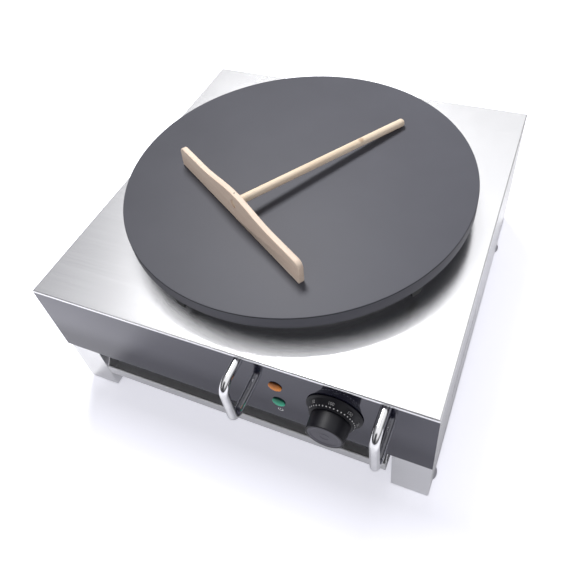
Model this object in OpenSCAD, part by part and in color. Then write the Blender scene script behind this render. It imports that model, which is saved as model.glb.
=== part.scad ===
// Electric crepe maker: a round cast griddle above a folded sheet-steel body that
// holds a pull-out crumb tray, with a wooden batter spreader lying on the griddle.
// X runs to the right, Y to the back and Z up. The origin lies on the table, under the
// middle of the machine's outline. Lengths are in millimetres, angles in degrees.

/* [Body] */
// Width of the body
body_w = 450; // [430:1:520]
// Depth of the body, from the front panel's face to the rear cover
body_d = 454; // [430:1:520]
// Height of the body, from the bottom of the legs to the top of the cover
body_h = 183; // [175:1:220]
// Height of the legs, from their bottom to the front panel
leg_h = 79; // [72:1:84]
// Width of a front leg's face
leg_w = 42; // [38:1:43]
// Depth of the return on a leg's inner edge
leg_return = 18; // [10:1:24]
// Thickness of the body's sheet steel
sheet_t = 1.2; // [0.8:0.1:1.5]
// Height of the top cover's turned-down edge
lid_lip = 3; // [3:0.5:6]
// Outside radius of the top cover's bends
lid_bend = 1.8; // [1.5:0.1:2.5]
// Outside radius of the side panels' bends
side_bend = 2; // [1.5:0.1:2.4]
// Thickness of the enamelled front panel
panel_t = 2.5; // [2:0.1:4]
// Depth of the rear cover's two side wings
wing_d = 34; // [33:1:60]
// Outside radius of the rear cover's upright corners
rear_corner = 8; // [5:1:12]
// Width of the flange turned in under each side
bottom_flange = 24; // [22:1:30]
// Width of the flange turned in below the top cover
top_flange = 15; // [13:1:18]

/* [Feet] */
// Diameter of a rubber foot
foot_d = 24; // [18:1:26]
// Height of a rubber foot below the body
foot_h = 3; // [2:0.5:8]
// Distance from a side face to the middle of a foot
foot_inset = 9.5; // [9:0.5:11]
// Distance from the front panel's face to the middle of a front foot
foot_front = 30; // [24:1:50]
// Distance from the seam of the rear cover to the middle of a rear foot
foot_seam = 38; // [20:1:60]

/* [Griddle] */
// Diameter of the griddle
plate_d = 400; // [390:1:420]
// Thickness of the griddle at its rim
plate_t = 15.5; // [13:0.5:18]
// Depth of the recess under the griddle
plate_recess = 2; // [1:0.5:3]
// Width of the rim that stands round the recess
plate_rim = 13; // [9:1:16]
// Gap between the top cover and the griddle's rim
plate_gap = 23.5; // [23:0.5:32]
// Shift of the griddle to the right of the body's middle
plate_side = 3.5; // [-6:0.5:6]
// Shift of the griddle in front of the body's middle
plate_forward = 7; // [0:0.5:10]
// Width of a cast lug under the rim
lug_w = 14; // [10:1:20]
// Height of a cast lug
lug_h = 8; // [5:0.5:12]
// Thickness of a cast lug, measured inwards from the rim
lug_t = 9; // [6:0.5:10]
// Number of lugs round the rim
lug_count = 5; // [3:1:6]
// Direction of the first lug
lug_turn = -32.2; // [-45:0.1:-25]

/* [Heater] */
// Diameter of the heating element's tube
element_d = 8; // [6:0.5:8.5]
// Radius of the element's outer turn
element_r = 150; // [146:1:156]
// Distance between the element's turns
element_pitch = 35; // [34:1:37]
// Half of the angle left open between the element's ends
element_open = 14; // [14:0.5:16]
// Thickness of the element's clamp
clamp_t = 2; // [1.5:0.1:2.5]
// Width of the clamp's arms
clamp_arm_w = 24; // [20:1:28]
// Thickness of the insulation
insulation_t = 8; // [4:0.5:8.5]
// Radius of the heat shield
shield_r = 176; // [172:1:180]
// Thickness of the heat shield's sheet
shield_t = 1; // [0.6:0.1:1.2]
// Diameter of the griddle's studs
stud_d = 6; // [5:0.5:6]
// Diameter of the spacers round the studs
spacer_d = 14; // [12:0.5:15]
// Diameter of the clamp's screws
clamp_screw_d = 5; // [4:0.5:5]

/* [Tray] */
// Distance from a side face of the body to the tray
tray_side = 47.5; // [47:0.5:60]
// Depth of the tray, front to back
tray_d = 400; // [340:1:405]
// Height of the tray's front wall
tray_front_h = 14; // [12:0.5:18]
// Height of the tray's side walls
tray_side_h = 39; // [34:0.5:40]
// Height of the tray's floor above the bottom of the legs
tray_z = 36; // [34:0.5:38]
// Thickness of the tray's sheet
tray_t = 1; // [0.8:0.1:1.5]
// Lean of the side walls' front edges, back from upright
tray_rake = 38.4; // [20:0.1:50]
// Radius of the rolled hem on the front wall
hem_r = 1.5; // [1.2:0.1:2]
// Side gap between the tray and its rails
tray_gap = 1; // [0.5:0.1:1.5]
// Gap under the tray, down to its rails
tray_rest = 0.3; // [0.3:0.05:0.5]
// Width of the rails' lower flanges
rail_flange = 12; // [8:1:16]
// Thickness of the rails' sheet
rail_t = 1.2; // [1:0.1:1.5]

/* [Controls] */
// Distance of the knob's axis to the right of the middle
knob_x = 125.6; // [122:0.1:132]
// Height of the knob's axis above the bottom of the legs
knob_h = 135.4; // [130:0.1:141]
// Radius of the dial skirt's back rim
skirt_r = 29.5; // [28:0.1:31]
// Gap between the panel and the dial skirt
skirt_gap = 0.7; // [0.5:0.1:1.5]
// Radius of the knob's grip at the skirt
grip_r = 20.5; // [19:0.1:21]
// Distance from the panel to the knob's front face
knob_reach = 28.4; // [26:0.1:33]
// Diameter of the thermostat's shaft
shaft_d = 6; // [5:0.5:7]
// Radial gap between the shaft and its bushing
shaft_fit = 0.05; // [0.03:0.01:0.09]
// Distance of the lamps to the right of the middle
lamp_x = 63.5; // [62:0.1:72]
// Height of the middle between the lamps above the bottom of the legs
lamp_h = 130.6; // [128:0.1:133]
// Distance between the two lamps
lamp_pitch = 31.2; // [24:0.1:36]
// Radius of a lamp's lens
lens_r = 7.2; // [6:0.1:7.5]
// Distance that a lamp's lens stands in front of the panel
lens_reach = 3; // [2:0.1:5]
// Distance of the left guard handle to the right of the middle
handle_left_x = 26; // [20:1:40]
// Distance of the right guard handle to the right of the middle
handle_right_x = 176; // [172:1:186]
// Diameter of the handles' bar
handle_d = 10; // [8:0.5:10.5]
// Height of the handles' middle above the bottom of the legs
handle_h = 140.5; // [138:0.1:141]
// Distance between the two legs of a handle
handle_pitch = 64; // [56:1:66]
// Distance from the panel to the centre of a handle's grip
handle_reach = 31; // [26:1:38]
// Bend radius of a handle, on the bar's centre line
handle_bend = 12; // [10:1:15]

/* [Cable entry] */
// Distance of the cable gland to the right of the middle
gland_x = 150; // [100:1:170]
// Height of the cable gland above the base plate
gland_up = 28; // [22:1:40]
// Distance that the gland stands behind the rear cover
gland_reach = 22; // [18:1:28]
// Diameter of the gland's cable hole
gland_bore = 9; // [7:0.5:10]

/* [Spreader] */
// Length of the spreader's blade
blade_l = 237; // [180:1:250]
// Thickness of the blade
blade_t = 6.5; // [5:0.5:9]
// Height of the blade at its ends
blade_h = 26; // [25:0.5:32]
// Extra height of the blade's middle
blade_rise = 7; // [0:0.5:9]
// Length of the raised middle, swell and all
blade_swell = 140; // [100:1:160]
// Length of the stick, from the blade's front face to its tip
stick_l = 239; // [180:1:245]
// Diameter of the stick
stick_d = 9.5; // [8:0.5:11]
// Height of the stick's centre on the blade
stick_h = 20; // [18:0.5:20]
// Place of the blade to the right of the body's middle
spreader_x = -33.9; // [-45:0.1:-20]
// Place of the blade's middle in front of the body's middle
spreader_forward = 91.9; // [80:0.1:100]
// Direction of the blade, seen from above
spreader_turn = -31.7; // [-60:0.1:0]

/* [Hidden] */
$fn = 48;

// Overlap that makes a cut run past a face, and the play between loose parts
past = 1;
fit = 0.2;

// Main planes
half_w = body_w / 2;
body_bottom = foot_h;
base_z = body_bottom + leg_h;
body_top = body_bottom + body_h;
lip_z = body_top - lid_lip;
front_reach = max(handle_reach + handle_d / 2, knob_reach);
front_y = front_reach - (front_reach + body_d + gland_reach) / 2;
back_y = front_y + body_d;
mid_y = (front_y + back_y) / 2;
seam_y = back_y - wing_d;
skin_y = front_y + panel_t;       // front face of the legs, back face of the panel
inside_y = skin_y + sheet_t;
knob_z = body_bottom + knob_h;

// Fasteners: M4 studs and nuts on the sheet metal
m4_r = 2;
m4_hole_r = m4_r + 0.25;
m4_nut_r = 4.04;
m4_nut_h = 3.2;
m4_head_r = 3.8;
m4_head_h = 2.2;
thread_fit = 0.05;
stud_l = 9;

// Front flange of the side panels and the studs that hold the panel to it
front_flange = 22;
panel_stud_x = half_w - front_flange / 2;
panel_stud_in = 16;
panel_stud_zs = [base_z + panel_stud_in, lip_z - panel_stud_in];

// Studs that hold the base plate to the side panels
base_flange = 14;
base_stud_z = base_z - base_flange / 2;
base_stud_front = 45;
base_stud_back = 25;
base_stud_ys = [skin_y + base_stud_front, (skin_y + seam_y) / 2, seam_y - base_stud_back];

// Studs that hold the top cover to the flanges below it
lid_inner = half_w - 2 * sheet_t - fit;
cover_stud_x = lid_inner - top_flange / 2;
cover_stud_front = 40;
cover_stud_back = 20;
cover_stud_ys = [skin_y + cover_stud_front, mid_y, seam_y - cover_stud_back];
cover_stud_rear_y = back_y - 2 * sheet_t - fit - top_flange / 2;
cover_stud_rear_x = half_w / 2;

// Vent slots in the side panels
vent_count = 12;
vent_pitch = 10;
vent_w = 3;
vent_h = 30;
vent_up = 6;
vent_z = base_z + vent_up;
vent_front = 80;

// Louvres in the rear cover and vents in the base plate
louvre_count = 5;
louvre_pitch = 11;
louvre_w = 60;
louvre_h = 3.5;
louvre_up = 40;
louvre_z = base_z + louvre_up;
louvre_xs = [-130, 0];
base_vent_count = 7;
base_vent_pitch = 22;
base_vent_l = 60;
base_vent_w = 4;

// Seam strip that carries the rear cover's wings
strip_d = 12;
rear_screw_side = 65;
rear_screw_l = 8;
rear_screw_xs = [for (i = [-1, -1 / 3, 1 / 3, 1]) i * (half_w - rear_screw_side)];

// Griddle and what hangs below it
plate_x = plate_side;
plate_y = mid_y - plate_forward;
plate_r = plate_d / 2;
rim_z = body_top + plate_gap;
plate_top = rim_z + plate_t;
recess_z = rim_z + plate_recess;
plate_edge = 0.8;
element_fit = 0.1;
tube_r = element_d / 2;
tube_z = recess_z - element_fit - tube_r;
turn_rs = [for (i = [0 : 2]) element_r - i * element_pitch];
clamp_top = tube_z - tube_r;
insulation_top = clamp_top - clamp_t;
shield_floor_top = insulation_top - insulation_t;
shield_floor = shield_floor_top - shield_t;
shield_wall_gap = 4;
shield_wall_top = recess_z - shield_wall_gap;
insulation_r = shield_r - shield_t - fit;
stud_circle_r = element_r - element_pitch / 2;
screw_circle_r = element_r - 1.5 * element_pitch;
stud_r = stud_d / 2;
stud_angles = [45, 135, 225, 315];
stud_x = stud_circle_r * cos(45);
clamp_angles = [-90, 30, 150];
boss_r = 9;
boss_h = 6.5;
boss_bottom = recess_z - boss_h;
clamp_ring_r = 48;
clamp_bore_r = 28;
clamp_arm_past = 3;
clamp_boss_r = 6.5;
clamp_boss_gap = 0.6;
clamp_boss_bottom = clamp_top + clamp_boss_gap;
clamp_screw_r = clamp_screw_d / 2;
clamp_screw_grip = 4;
clamp_head_r = clamp_screw_r + 2;
clamp_head_h = 2.6;
clamp_hole_depth = 6;
blind_depth = 9;
spacer_r = spacer_d / 2;
spacer_play = 0.4;
stud_hole_r = spacer_r + spacer_play;
stud_clear = 1;
stud_past_nut = 3;
plate_nut_h = 5;
plate_nut_r = stud_r * 1.92;
lead_r = tube_r * 0.75;
lead_inset = 5;
lead_drop = 28;
lead_bottom = body_top - lead_drop;
lead_play = 2.5;
lead_hole_r = lead_r + lead_play;
pin_l = 10;
pin_r = 1.5;
stiffener_w = 34;
stiffener_h = 18;
stiffener_t = 1.5;
stiffener_inset = 30;
stiffener_l = body_d - 2 * stiffener_inset;
plate_nut_top = body_top - sheet_t - stiffener_t;

// Where the element's two leads come down, just short of the ends of its turns
element_ends = [
    for (l = [[turn_rs[0], 90 + element_open, 1], [turn_rs[2], 90 - element_open, -1]])
        let (a = l[1] + l[2] * atan(lead_inset / l[0]))
            [plate_x + l[0] * cos(a), plate_y + l[0] * sin(a)]
];

// Thermostat bulb under the griddle, in the gap between the inner turns
bulb_r = 2.5;
bulb_l = 44;
bulb_z = recess_z - element_fit - bulb_r;
bulb_x = plate_x + screw_circle_r;
capillary_bend = 5;
capillary_start = 2;
capillary_y = plate_y - bulb_l / 2 - capillary_bend - capillary_start;
capillary_r = 1.1;
capillary_hole_r = 3;
clip_t = 0.8;
clip_w = 8;
clip_tab = 9;
clip_screw_r = 1.5;
clip_screw_l = 5;
clip_head_r = 2.8;
clip_head_h = 1.6;

// Thermostat behind the panel
thermo_w = 36;
thermo_h = 32;
thermo_d = 45;
bushing_r = 5;
bushing_out = 2.2;
bushing_depth = 14;
shaft_r = shaft_d / 2;
shaft_end = 0.5;
thermo_screw_x = 14;
thermo_screw_l = 8;
thermo_head_h = 2;
thermo_hole_depth = 10;
thermo_back = skin_y + thermo_d;
tab_x = 10;
tab_w = 6.4;
tab_t = 0.8;
tab_l = 8;
tab_zs = [-8, 4];
capillary_up = 7;
capillary_level = knob_z + capillary_up;
capillary_inlet = 8;
capillary_jog = 30;

// Knob and dial, as radius and height above the panel
rim_edge = 2;
skirt_rise = 10.2;
skirt_top_r = grip_r + 1.9;
skirt_top = skirt_gap + skirt_rise;
skirt_wall = 1.8;
hub_r = 8;
hub_gap = 0.8;
hub_start = bushing_out + hub_gap;
face_r = grip_r - 1.2;
cap_r = grip_r - 3;
cap_t = 1.4;
cap_rim = 2.2;
cap_slope = 1.5;
cap_edge = 0.4;
cap_dish = 0.7;
skirt_lip = 0.6;
grip_foot = 2;
face_edge = 0.6;
knob_wall = 5;
knob_bore_end = knob_reach - knob_wall;
knob_fit = 0.02;

// Lamps
lens_flange_t = 1.2;
lens_neck_r = 4.9;
lens_neck_l = 10;
lamp_hole_r = lens_neck_r + 0.1;
holder_r = 7.2;
holder_l = 20;
holder_gap = 0.3;
lamp_zs = [for (s = [1, -1]) body_bottom + lamp_h + s * lamp_pitch / 2];
lens_band = 0.2;
dome_r = lens_r - lens_band;
dome_h = lens_reach - lens_flange_t - lens_band;
dome_ball_r = (dome_r * dome_r + dome_h * dome_h) / (2 * dome_h);
terminal_x = 3.5;
terminal_t = 0.8;
terminal_w = 4.8;
terminal_l = 8;

// Handle legs and their bolts
handle_r = handle_d / 2;
handle_low_z = body_bottom + handle_h - handle_pitch / 2;
handle_high_z = body_bottom + handle_h + handle_pitch / 2;
bolt_r = 2.5;
bolt_l = 12;
bolt_head_r = 4.5;
bolt_head_h = 3;

// Cable gland and terminal block
gland_z = base_z + sheet_t + gland_up;
gland_neck_r = 8;
gland_in = 11;
gland_hex_r = 12.5;
gland_hex_h = 6;
gland_nut_h = 5;
gland_dome_h = 5;
gland_body_r = gland_hex_r - 2.5;
gland_lip = 2;
block_w = 46;
block_d = 20;
block_h = 18;
block_ways = 4;
block_side = 60;
block_back = 60;
block_x = gland_x - block_side;
block_y = back_y - block_back;
block_bore_z = base_z + sheet_t + block_h * 0.4;
block_screw_y = 5;
block_hole_r = 2;

// Tray and its rails
tray_floor = body_bottom + tray_z;
tray_half = half_w - tray_side;
tray_back = front_y + tray_d;
rail_in = tray_half + tray_gap;
rail_low = tray_floor - tray_rest - rail_t;
rail_clear = 5;
rail_front = skin_y + leg_return + rail_clear;
rail_back = tray_back + 3;
rail_top_flange = 18;
rail_screw_side = 2;
rail_screw_x = rail_in + rail_t + rail_top_flange / 2 + rail_screw_side;
rail_screw_in = 25;
rail_screw_l = 6;
rail_screw_ys = [rail_front + rail_screw_in, (rail_front + rail_back) / 2, rail_back - rail_screw_in];
stop_h = 14;

// Feet
foot_r = foot_d / 2;
foot_neck_r = 4;
foot_barb_r = 5.2;
foot_barb_h = 5;
foot_edge = 1;
foot_x = half_w - foot_inset;
foot_ys = [front_y + foot_front, seam_y - foot_seam];

// Spreader: the stick leans down until its tip meets the griddle
spreader_rest = 0.1;
stick_r = stick_d / 2;
stick_fit = 0.02;
lean = atan((stick_h - stick_r) / stick_l);
blade_corner_r = 8;
blade_steps = 24;
stick_pin_r = 0.8;
stick_pin_fit = 0.02;
spreader_y = mid_y - spreader_forward;

steel = [0.80, 0.80, 0.82];
zinc = [0.72, 0.73, 0.75];
black = [0.08, 0.08, 0.09];
pale = [0.82, 0.82, 0.85];
iron = [0.27, 0.27, 0.29];
wood = [0.87, 0.76, 0.58];
chrome = [0.88, 0.88, 0.9];

// ---------------------------------------------------------------- helpers

function unit(v) = v / norm(v);
function side_vector(v) = abs(v[2]) < 0.9 ? unit(cross([0, 0, 1], v)) : unit(cross([1, 0, 0], v));

// Puts its children in the frame with this origin and these X and Y directions
module in_frame(origin, x_dir, y_dir) {
    z_dir = cross(x_dir, y_dir);
    multmatrix([
        [x_dir[0], y_dir[0], z_dir[0], origin[0]],
        [x_dir[1], y_dir[1], z_dir[1], origin[1]],
        [x_dir[2], y_dir[2], z_dir[2], origin[2]],
        [0, 0, 0, 1]
    ]) children();
}

// Extrudes an X-Z outline along Y
module along_y(y0, y1) {
    translate([0, y1, 0]) rotate([90, 0, 0]) linear_extrude(y1 - y0) children();
}

// Extrudes a Y-Z outline along X
module along_x(x0, x1) {
    translate([x0, 0, 0]) rotate([90, 0, 90]) linear_extrude(x1 - x0) children();
}

module span_box(low, high) {
    translate(low) cube(high - low);
}

// Rectangle with rounded upper corners, standing on the origin's level
module arch_outline(w, h, r) {
    translate([-w / 2, 0]) square([w, h - r]);
    translate([-w / 2 + r, 0]) square([w - 2 * r, h]);
    for (s = [-1, 1]) translate([s * (w / 2 - r), h - r]) circle(r);
}

module rod_y(x, z, y0, y1, r) {
    translate([x, y1, z]) rotate([90, 0, 0]) cylinder(h = y1 - y0, r = r);
}

module rod_x(y, z, x0, x1, r) {
    translate([x0, y, z]) rotate([0, 90, 0]) cylinder(h = x1 - x0, r = r);
}

module rod_z(x, y, z0, z1, r) {
    translate([x, y, z0]) cylinder(h = z1 - z0, r = r);
}

// Puts its children in front of the panel, with +Z pointing out of its face
module on_panel(x, z) {
    translate([x, front_y, z]) rotate([90, 0, 0]) children();
}

// Round bar along a path, with a true bend at each inner point
module bent_bar(path, r, bend) {
    last = len(path) - 1;
    dirs = [for (i = [0 : last - 1]) unit(path[i + 1] - path[i])];
    turns = [for (i = [1 : last - 1]) acos(min(1, max(-1, dirs[i - 1] * dirs[i])))];
    cuts = [for (i = [0 : last]) i == 0 || i == last ? 0 : bend * tan(turns[i - 1] / 2)];
    for (i = [0 : last - 1]) {
        side = side_vector(dirs[i]);
        in_frame(path[i] + dirs[i] * cuts[i], side, cross(dirs[i], side))
            cylinder(h = norm(path[i + 1] - path[i]) - cuts[i] - cuts[i + 1], r = r);
    }
    for (i = [1 : last - 1]) {
        inward = unit(dirs[i] - dirs[i - 1] * (dirs[i] * dirs[i - 1]));
        start = path[i] - dirs[i - 1] * cuts[i];
        in_frame(start + inward * bend, -inward, dirs[i - 1])
            rotate_extrude(angle = turns[i - 1]) translate([bend, 0]) circle(r);
    }
}

module hex_nut(across_r, h, bore_r) {
    difference() {
        cylinder(h = h, r = across_r, $fn = 6);
        translate([0, 0, -past]) cylinder(h = h + 2 * past, r = bore_r);
    }
}

// Pan-head screw: the head stands on Z = 0 and the shank points down
module pan_screw(r, l, head_r, head_h) {
    translate([0, 0, -l]) cylinder(h = l, r = r);
    band = head_h * 0.6;
    slot_l = head_r * 1.1;
    slot_w = head_r * 0.2;
    difference() {
        union() {
            cylinder(h = band, r = head_r);
            translate([0, 0, band]) cylinder(h = head_h - band, r1 = head_r, r2 = head_r * 0.75);
        }
        for (a = [0, 90]) rotate([0, 0, a])
            translate([-slot_l / 2, -slot_w / 2, head_h / 2]) cube([slot_l, slot_w, head_h]);
    }
}

module at_griddle(angle, r) {
    translate([plate_x, plate_y, 0]) rotate([0, 0, angle]) translate([r, 0, 0]) children();
}

// Holes through a level sheet for everything that passes below the griddle
module griddle_holes(z0, z1, stud_hole) {
    for (a = stud_angles) at_griddle(a, stud_circle_r) rod_z(0, 0, z0, z1, stud_hole);
    for (e = element_ends) rod_z(e[0], e[1], z0, z1, lead_hole_r);
    rod_z(bulb_x, capillary_y, z0, z1, capillary_hole_r);
}

// ---------------------------------------------------------------- body shells

module lid_shell() {
    intersection() {
        along_y(front_y, back_y) translate([0, lip_z]) arch_outline(body_w, lid_lip, lid_bend);
        along_x(-half_w, half_w) translate([mid_y, lip_z]) arch_outline(body_d, lid_lip, lid_bend);
    }
}

module cover_stud_places() {
    for (s = [-1, 1]) {
        for (y = cover_stud_ys) translate([s * cover_stud_x, y, body_top - sheet_t]) children();
        translate([s * cover_stud_rear_x, cover_stud_rear_y, body_top - sheet_t]) children();
    }
}

module top_cover() {
    color(steel) difference() {
        lid_shell();
        span_box([-half_w + sheet_t, front_y + sheet_t, lip_z - past],
                 [half_w - sheet_t, back_y - sheet_t, body_top - sheet_t]);
        griddle_holes(body_top - sheet_t - past, body_top + past, stud_r + fit);
    }
    color(zinc) cover_stud_places() translate([0, 0, -stud_l]) cylinder(h = stud_l, r = m4_r);
}

module lid_stiffeners() {
    color(zinc) for (s = [-1, 1]) difference() {
        along_y(mid_y - stiffener_l / 2, mid_y + stiffener_l / 2)
            translate([plate_x + s * stud_x, body_top - sheet_t]) difference() {
                translate([-stiffener_w / 2, -stiffener_h]) square([stiffener_w, stiffener_h]);
                translate([-stiffener_w / 2 + stiffener_t, -stiffener_h - past])
                    square([stiffener_w - 2 * stiffener_t, stiffener_h - stiffener_t + past]);
            }
        griddle_holes(body_top - stiffener_h, body_top + past, stud_r + fit);
    }
}

module cover_nuts() {
    color(zinc) cover_stud_places()
        translate([0, 0, -sheet_t - m4_nut_h]) hex_nut(m4_nut_r, m4_nut_h, m4_r + thread_fit);
}

module vent_slot() {
    rod_x(0, vent_w / 2, -2 * sheet_t, 2 * sheet_t, vent_w / 2);
    rod_x(0, vent_h - vent_w / 2, -2 * sheet_t, 2 * sheet_t, vent_w / 2);
    translate([-2 * sheet_t, -vent_w / 2, vent_w / 2]) cube([4 * sheet_t, vent_w, vent_h - vent_w]);
}

// Room that a side panel fills, with its two long folds rounded
module side_folds() {
    depth = seam_y + strip_d - skin_y;
    intersection() {
        translate([0, 0, body_bottom]) linear_extrude(body_h) translate([half_w, skin_y])
            fold_outline(half_w, depth, side_bend);
        along_y(skin_y, skin_y + depth) translate([half_w, body_bottom])
            fold_outline(half_w, body_h, side_bend);
    }
}

// Rectangle that runs left and up from the origin, with that corner rounded
module fold_outline(w, h, r) {
    translate([-w, r]) square([w, h - r]);
    translate([-w, 0]) square([w - r, h]);
    translate([-r, r]) circle(r);
}

module side_panel() {
    intersection() {
        side_folds();
        side_sheet();
    }
}

module side_sheet() {
    difference() {
        union() {
            along_y(skin_y, seam_y) {
                translate([half_w - sheet_t, body_bottom]) square([sheet_t, body_h - lid_lip]);
                translate([half_w - bottom_flange, body_bottom]) square([bottom_flange, sheet_t]);
                translate([lid_inner, lip_z - sheet_t]) square([half_w - lid_inner, sheet_t]);
                translate([lid_inner, lip_z - sheet_t]) square([sheet_t, lid_lip]);
                translate([lid_inner - top_flange, body_top - 2 * sheet_t])
                    square([top_flange + sheet_t, sheet_t]);
            }
            span_box([half_w - leg_w, skin_y, body_bottom], [half_w, inside_y, base_z]);
            span_box([half_w - front_flange, skin_y, body_bottom], [half_w, inside_y, lip_z]);
            span_box([half_w - leg_w, skin_y, body_bottom],
                     [half_w - leg_w + sheet_t, skin_y + leg_return, base_z - base_flange]);
            span_box([half_w - 2 * sheet_t, seam_y - sheet_t, body_bottom + 2 * sheet_t],
                     [half_w - sheet_t, seam_y + strip_d, lip_z - 2 * sheet_t]);
            for (y = base_stud_ys)
                rod_x(y, base_stud_z, half_w - sheet_t - stud_l, half_w - sheet_t / 2, m4_r);
        }
        for (i = [0 : vent_count - 1])
            translate([half_w, front_y + vent_front + i * vent_pitch, vent_z]) vent_slot();
        for (z = panel_stud_zs) rod_y(panel_stud_x, z, skin_y - past, inside_y + past, m4_hole_r);
        for (y = cover_stud_ys)
            rod_z(cover_stud_x, y, body_top - 3 * sheet_t, body_top, m4_hole_r);
        for (y = foot_ys)
            rod_z(foot_x, y, body_bottom - past, body_bottom + sheet_t + past, foot_neck_r);
    }
}

module side_panel_right() { color(steel) side_panel(); }

module side_panel_left() { color(steel) mirror([1, 0, 0]) side_panel(); }

module handle_places() {
    for (x = [handle_left_x, handle_right_x], z = [handle_low_z, handle_high_z])
        on_panel(x, z) children();
}

module front_panel() {
    color(black) difference() {
        span_box([-half_w, front_y, base_z], [half_w, skin_y, lip_z]);
        rod_y(knob_x, knob_z, front_y - past, skin_y + past, bushing_r + fit);
        for (s = [-1, 1])
            rod_y(knob_x + s * thermo_screw_x, knob_z, front_y - past, skin_y + past, m4_hole_r);
        for (z = lamp_zs) rod_y(lamp_x, z, front_y - past, skin_y + past, lamp_hole_r);
        handle_places() translate([0, 0, -panel_t - past])
            cylinder(h = panel_t + 2 * past, r = bolt_r + fit);
    }
    color(zinc) for (s = [-1, 1], z = panel_stud_zs)
        rod_y(s * panel_stud_x, z, skin_y, skin_y + stud_l, m4_r);
}

module panel_nuts() {
    color(zinc) for (s = [-1, 1], z = panel_stud_zs)
        translate([s * panel_stud_x, inside_y + m4_nut_h, z]) rotate([90, 0, 0])
            hex_nut(m4_nut_r, m4_nut_h, m4_r + thread_fit);
}

// Outline of the rear cover seen from above, set in by this much
module rear_outline(inset) {
    r = max(rear_corner - inset, 0.01);
    w = half_w - inset;
    back = back_y - inset;
    translate([-w, seam_y + fit]) square([2 * w, back - r - seam_y - fit]);
    translate([-w + r, seam_y + fit]) square([2 * w - 2 * r, back - seam_y - fit]);
    for (s = [-1, 1]) translate([s * (w - r), back - r]) circle(r);
}

// Level band of the rear cover's sheet, between two insets
module rear_band(z0, z1, from, to) {
    translate([0, 0, z0]) linear_extrude(z1 - z0) difference() {
        rear_outline(from);
        rear_outline(to);
        translate([to - half_w, seam_y - past]) square([body_w - 2 * to, 2 * past + fit]);
    }
}

module rear_cover() {
    color(steel) difference() {
        union() {
            rear_band(body_bottom, lip_z, 0, sheet_t);
            rear_band(body_bottom, body_bottom + sheet_t, 0, bottom_flange);
            rear_band(lip_z - sheet_t, lip_z, 0, 2 * sheet_t + fit);
            rear_band(lip_z - sheet_t, body_top - sheet_t, sheet_t + fit, 2 * sheet_t + fit);
            rear_band(body_top - 2 * sheet_t, body_top - sheet_t, sheet_t + fit,
                      2 * sheet_t + fit + top_flange);
        }
        for (x = louvre_xs, i = [0 : louvre_count - 1])
            translate([x, back_y, louvre_z + i * louvre_pitch]) {
                translate([-louvre_w / 2, -2 * sheet_t, -louvre_h / 2])
                    cube([louvre_w, 4 * sheet_t, louvre_h]);
                for (s = [-1, 1]) rod_y(s * louvre_w / 2, 0, -2 * sheet_t, 2 * sheet_t, louvre_h / 2);
            }
        rod_y(gland_x, gland_z, back_y - 2 * sheet_t, back_y + past, gland_neck_r + fit);
        for (x = rear_screw_xs) rod_y(x, base_stud_z, back_y - 2 * sheet_t, back_y + past, m4_hole_r);
        for (s = [-1, 1])
            rod_z(s * cover_stud_rear_x, cover_stud_rear_y, body_top - 3 * sheet_t, body_top, m4_hole_r);
    }
}

module rear_screws() {
    color(zinc) for (x = rear_screw_xs)
        translate([x, back_y, base_stud_z]) rotate([-90, 0, 0])
            pan_screw(m4_r, rear_screw_l, m4_head_r, m4_head_h);
}

module base_plate() {
    wall_x = half_w - sheet_t;
    color(steel) difference() {
        union() {
            span_box([-wall_x, inside_y, base_z], [wall_x, back_y - rear_corner, base_z + sheet_t]);
            span_box([-wall_x + rear_corner, inside_y, base_z],
                     [wall_x - rear_corner, back_y - sheet_t, base_z + sheet_t]);
            for (s = [-1, 1]) scale_side(s)
                span_box([wall_x - sheet_t, inside_y, base_z - base_flange],
                         [wall_x, back_y - rear_corner - sheet_t, base_z + sheet_t]);
            span_box([-wall_x + rear_corner, back_y - 2 * sheet_t, base_z - base_flange],
                     [wall_x - rear_corner, back_y - sheet_t, base_z + sheet_t]);
        }
        for (s = [-1, 1]) scale_side(s) {
            span_box([wall_x - sheet_t - fit, seam_y - sheet_t - fit, base_z - base_flange - past],
                     [half_w, seam_y + strip_d + fit, base_z + sheet_t + past]);
            for (y = base_stud_ys)
                rod_x(y, base_stud_z, wall_x - 2 * sheet_t, wall_x + past, m4_hole_r);
            for (y = rail_screw_ys)
                rod_z(rail_screw_x, y, base_z - past, base_z + sheet_t + past, m4_r + thread_fit);
        }
        for (x = rear_screw_xs)
            rod_y(x, base_stud_z, back_y - 3 * sheet_t, back_y, m4_r + thread_fit);
        for (i = [0 : base_vent_count - 1])
            translate([(i - (base_vent_count - 1) / 2) * base_vent_pitch, mid_y, 0])
                span_box([-base_vent_w / 2, -base_vent_l / 2, base_z - past],
                         [base_vent_w / 2, base_vent_l / 2, base_z + sheet_t + past]);
    }
}

// The same thing on the right (1) or mirrored to the left (-1)
module scale_side(s) {
    if (s > 0) children();
    else mirror([1, 0, 0]) children();
}

module base_nuts() {
    color(zinc) for (s = [-1, 1], y = base_stud_ys) scale_side(s)
        translate([half_w - 2 * sheet_t - m4_nut_h, y, base_stud_z]) rotate([0, 90, 0])
            hex_nut(m4_nut_r, m4_nut_h, m4_r + thread_fit);
}

// ---------------------------------------------------------------- tray rails

module rail() {
    difference() {
        union() {
            along_y(rail_front, rail_back) {
                translate([rail_in, base_z - rail_t]) square([rail_t + rail_top_flange, rail_t]);
                translate([rail_in, rail_low]) square([rail_t, base_z - rail_low]);
                translate([rail_in - rail_flange - tray_gap, rail_low])
                    square([rail_flange + tray_gap + rail_t, rail_t]);
            }
            span_box([rail_in - rail_flange, rail_back - rail_t, rail_low],
                     [rail_in + rail_t, rail_back, rail_low + rail_t + stop_h]);
        }
        for (y = rail_screw_ys) rod_z(rail_screw_x, y, base_z - rail_t - past, base_z + past, m4_hole_r);
    }
}

module rail_right() { color(zinc) rail(); }

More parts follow.
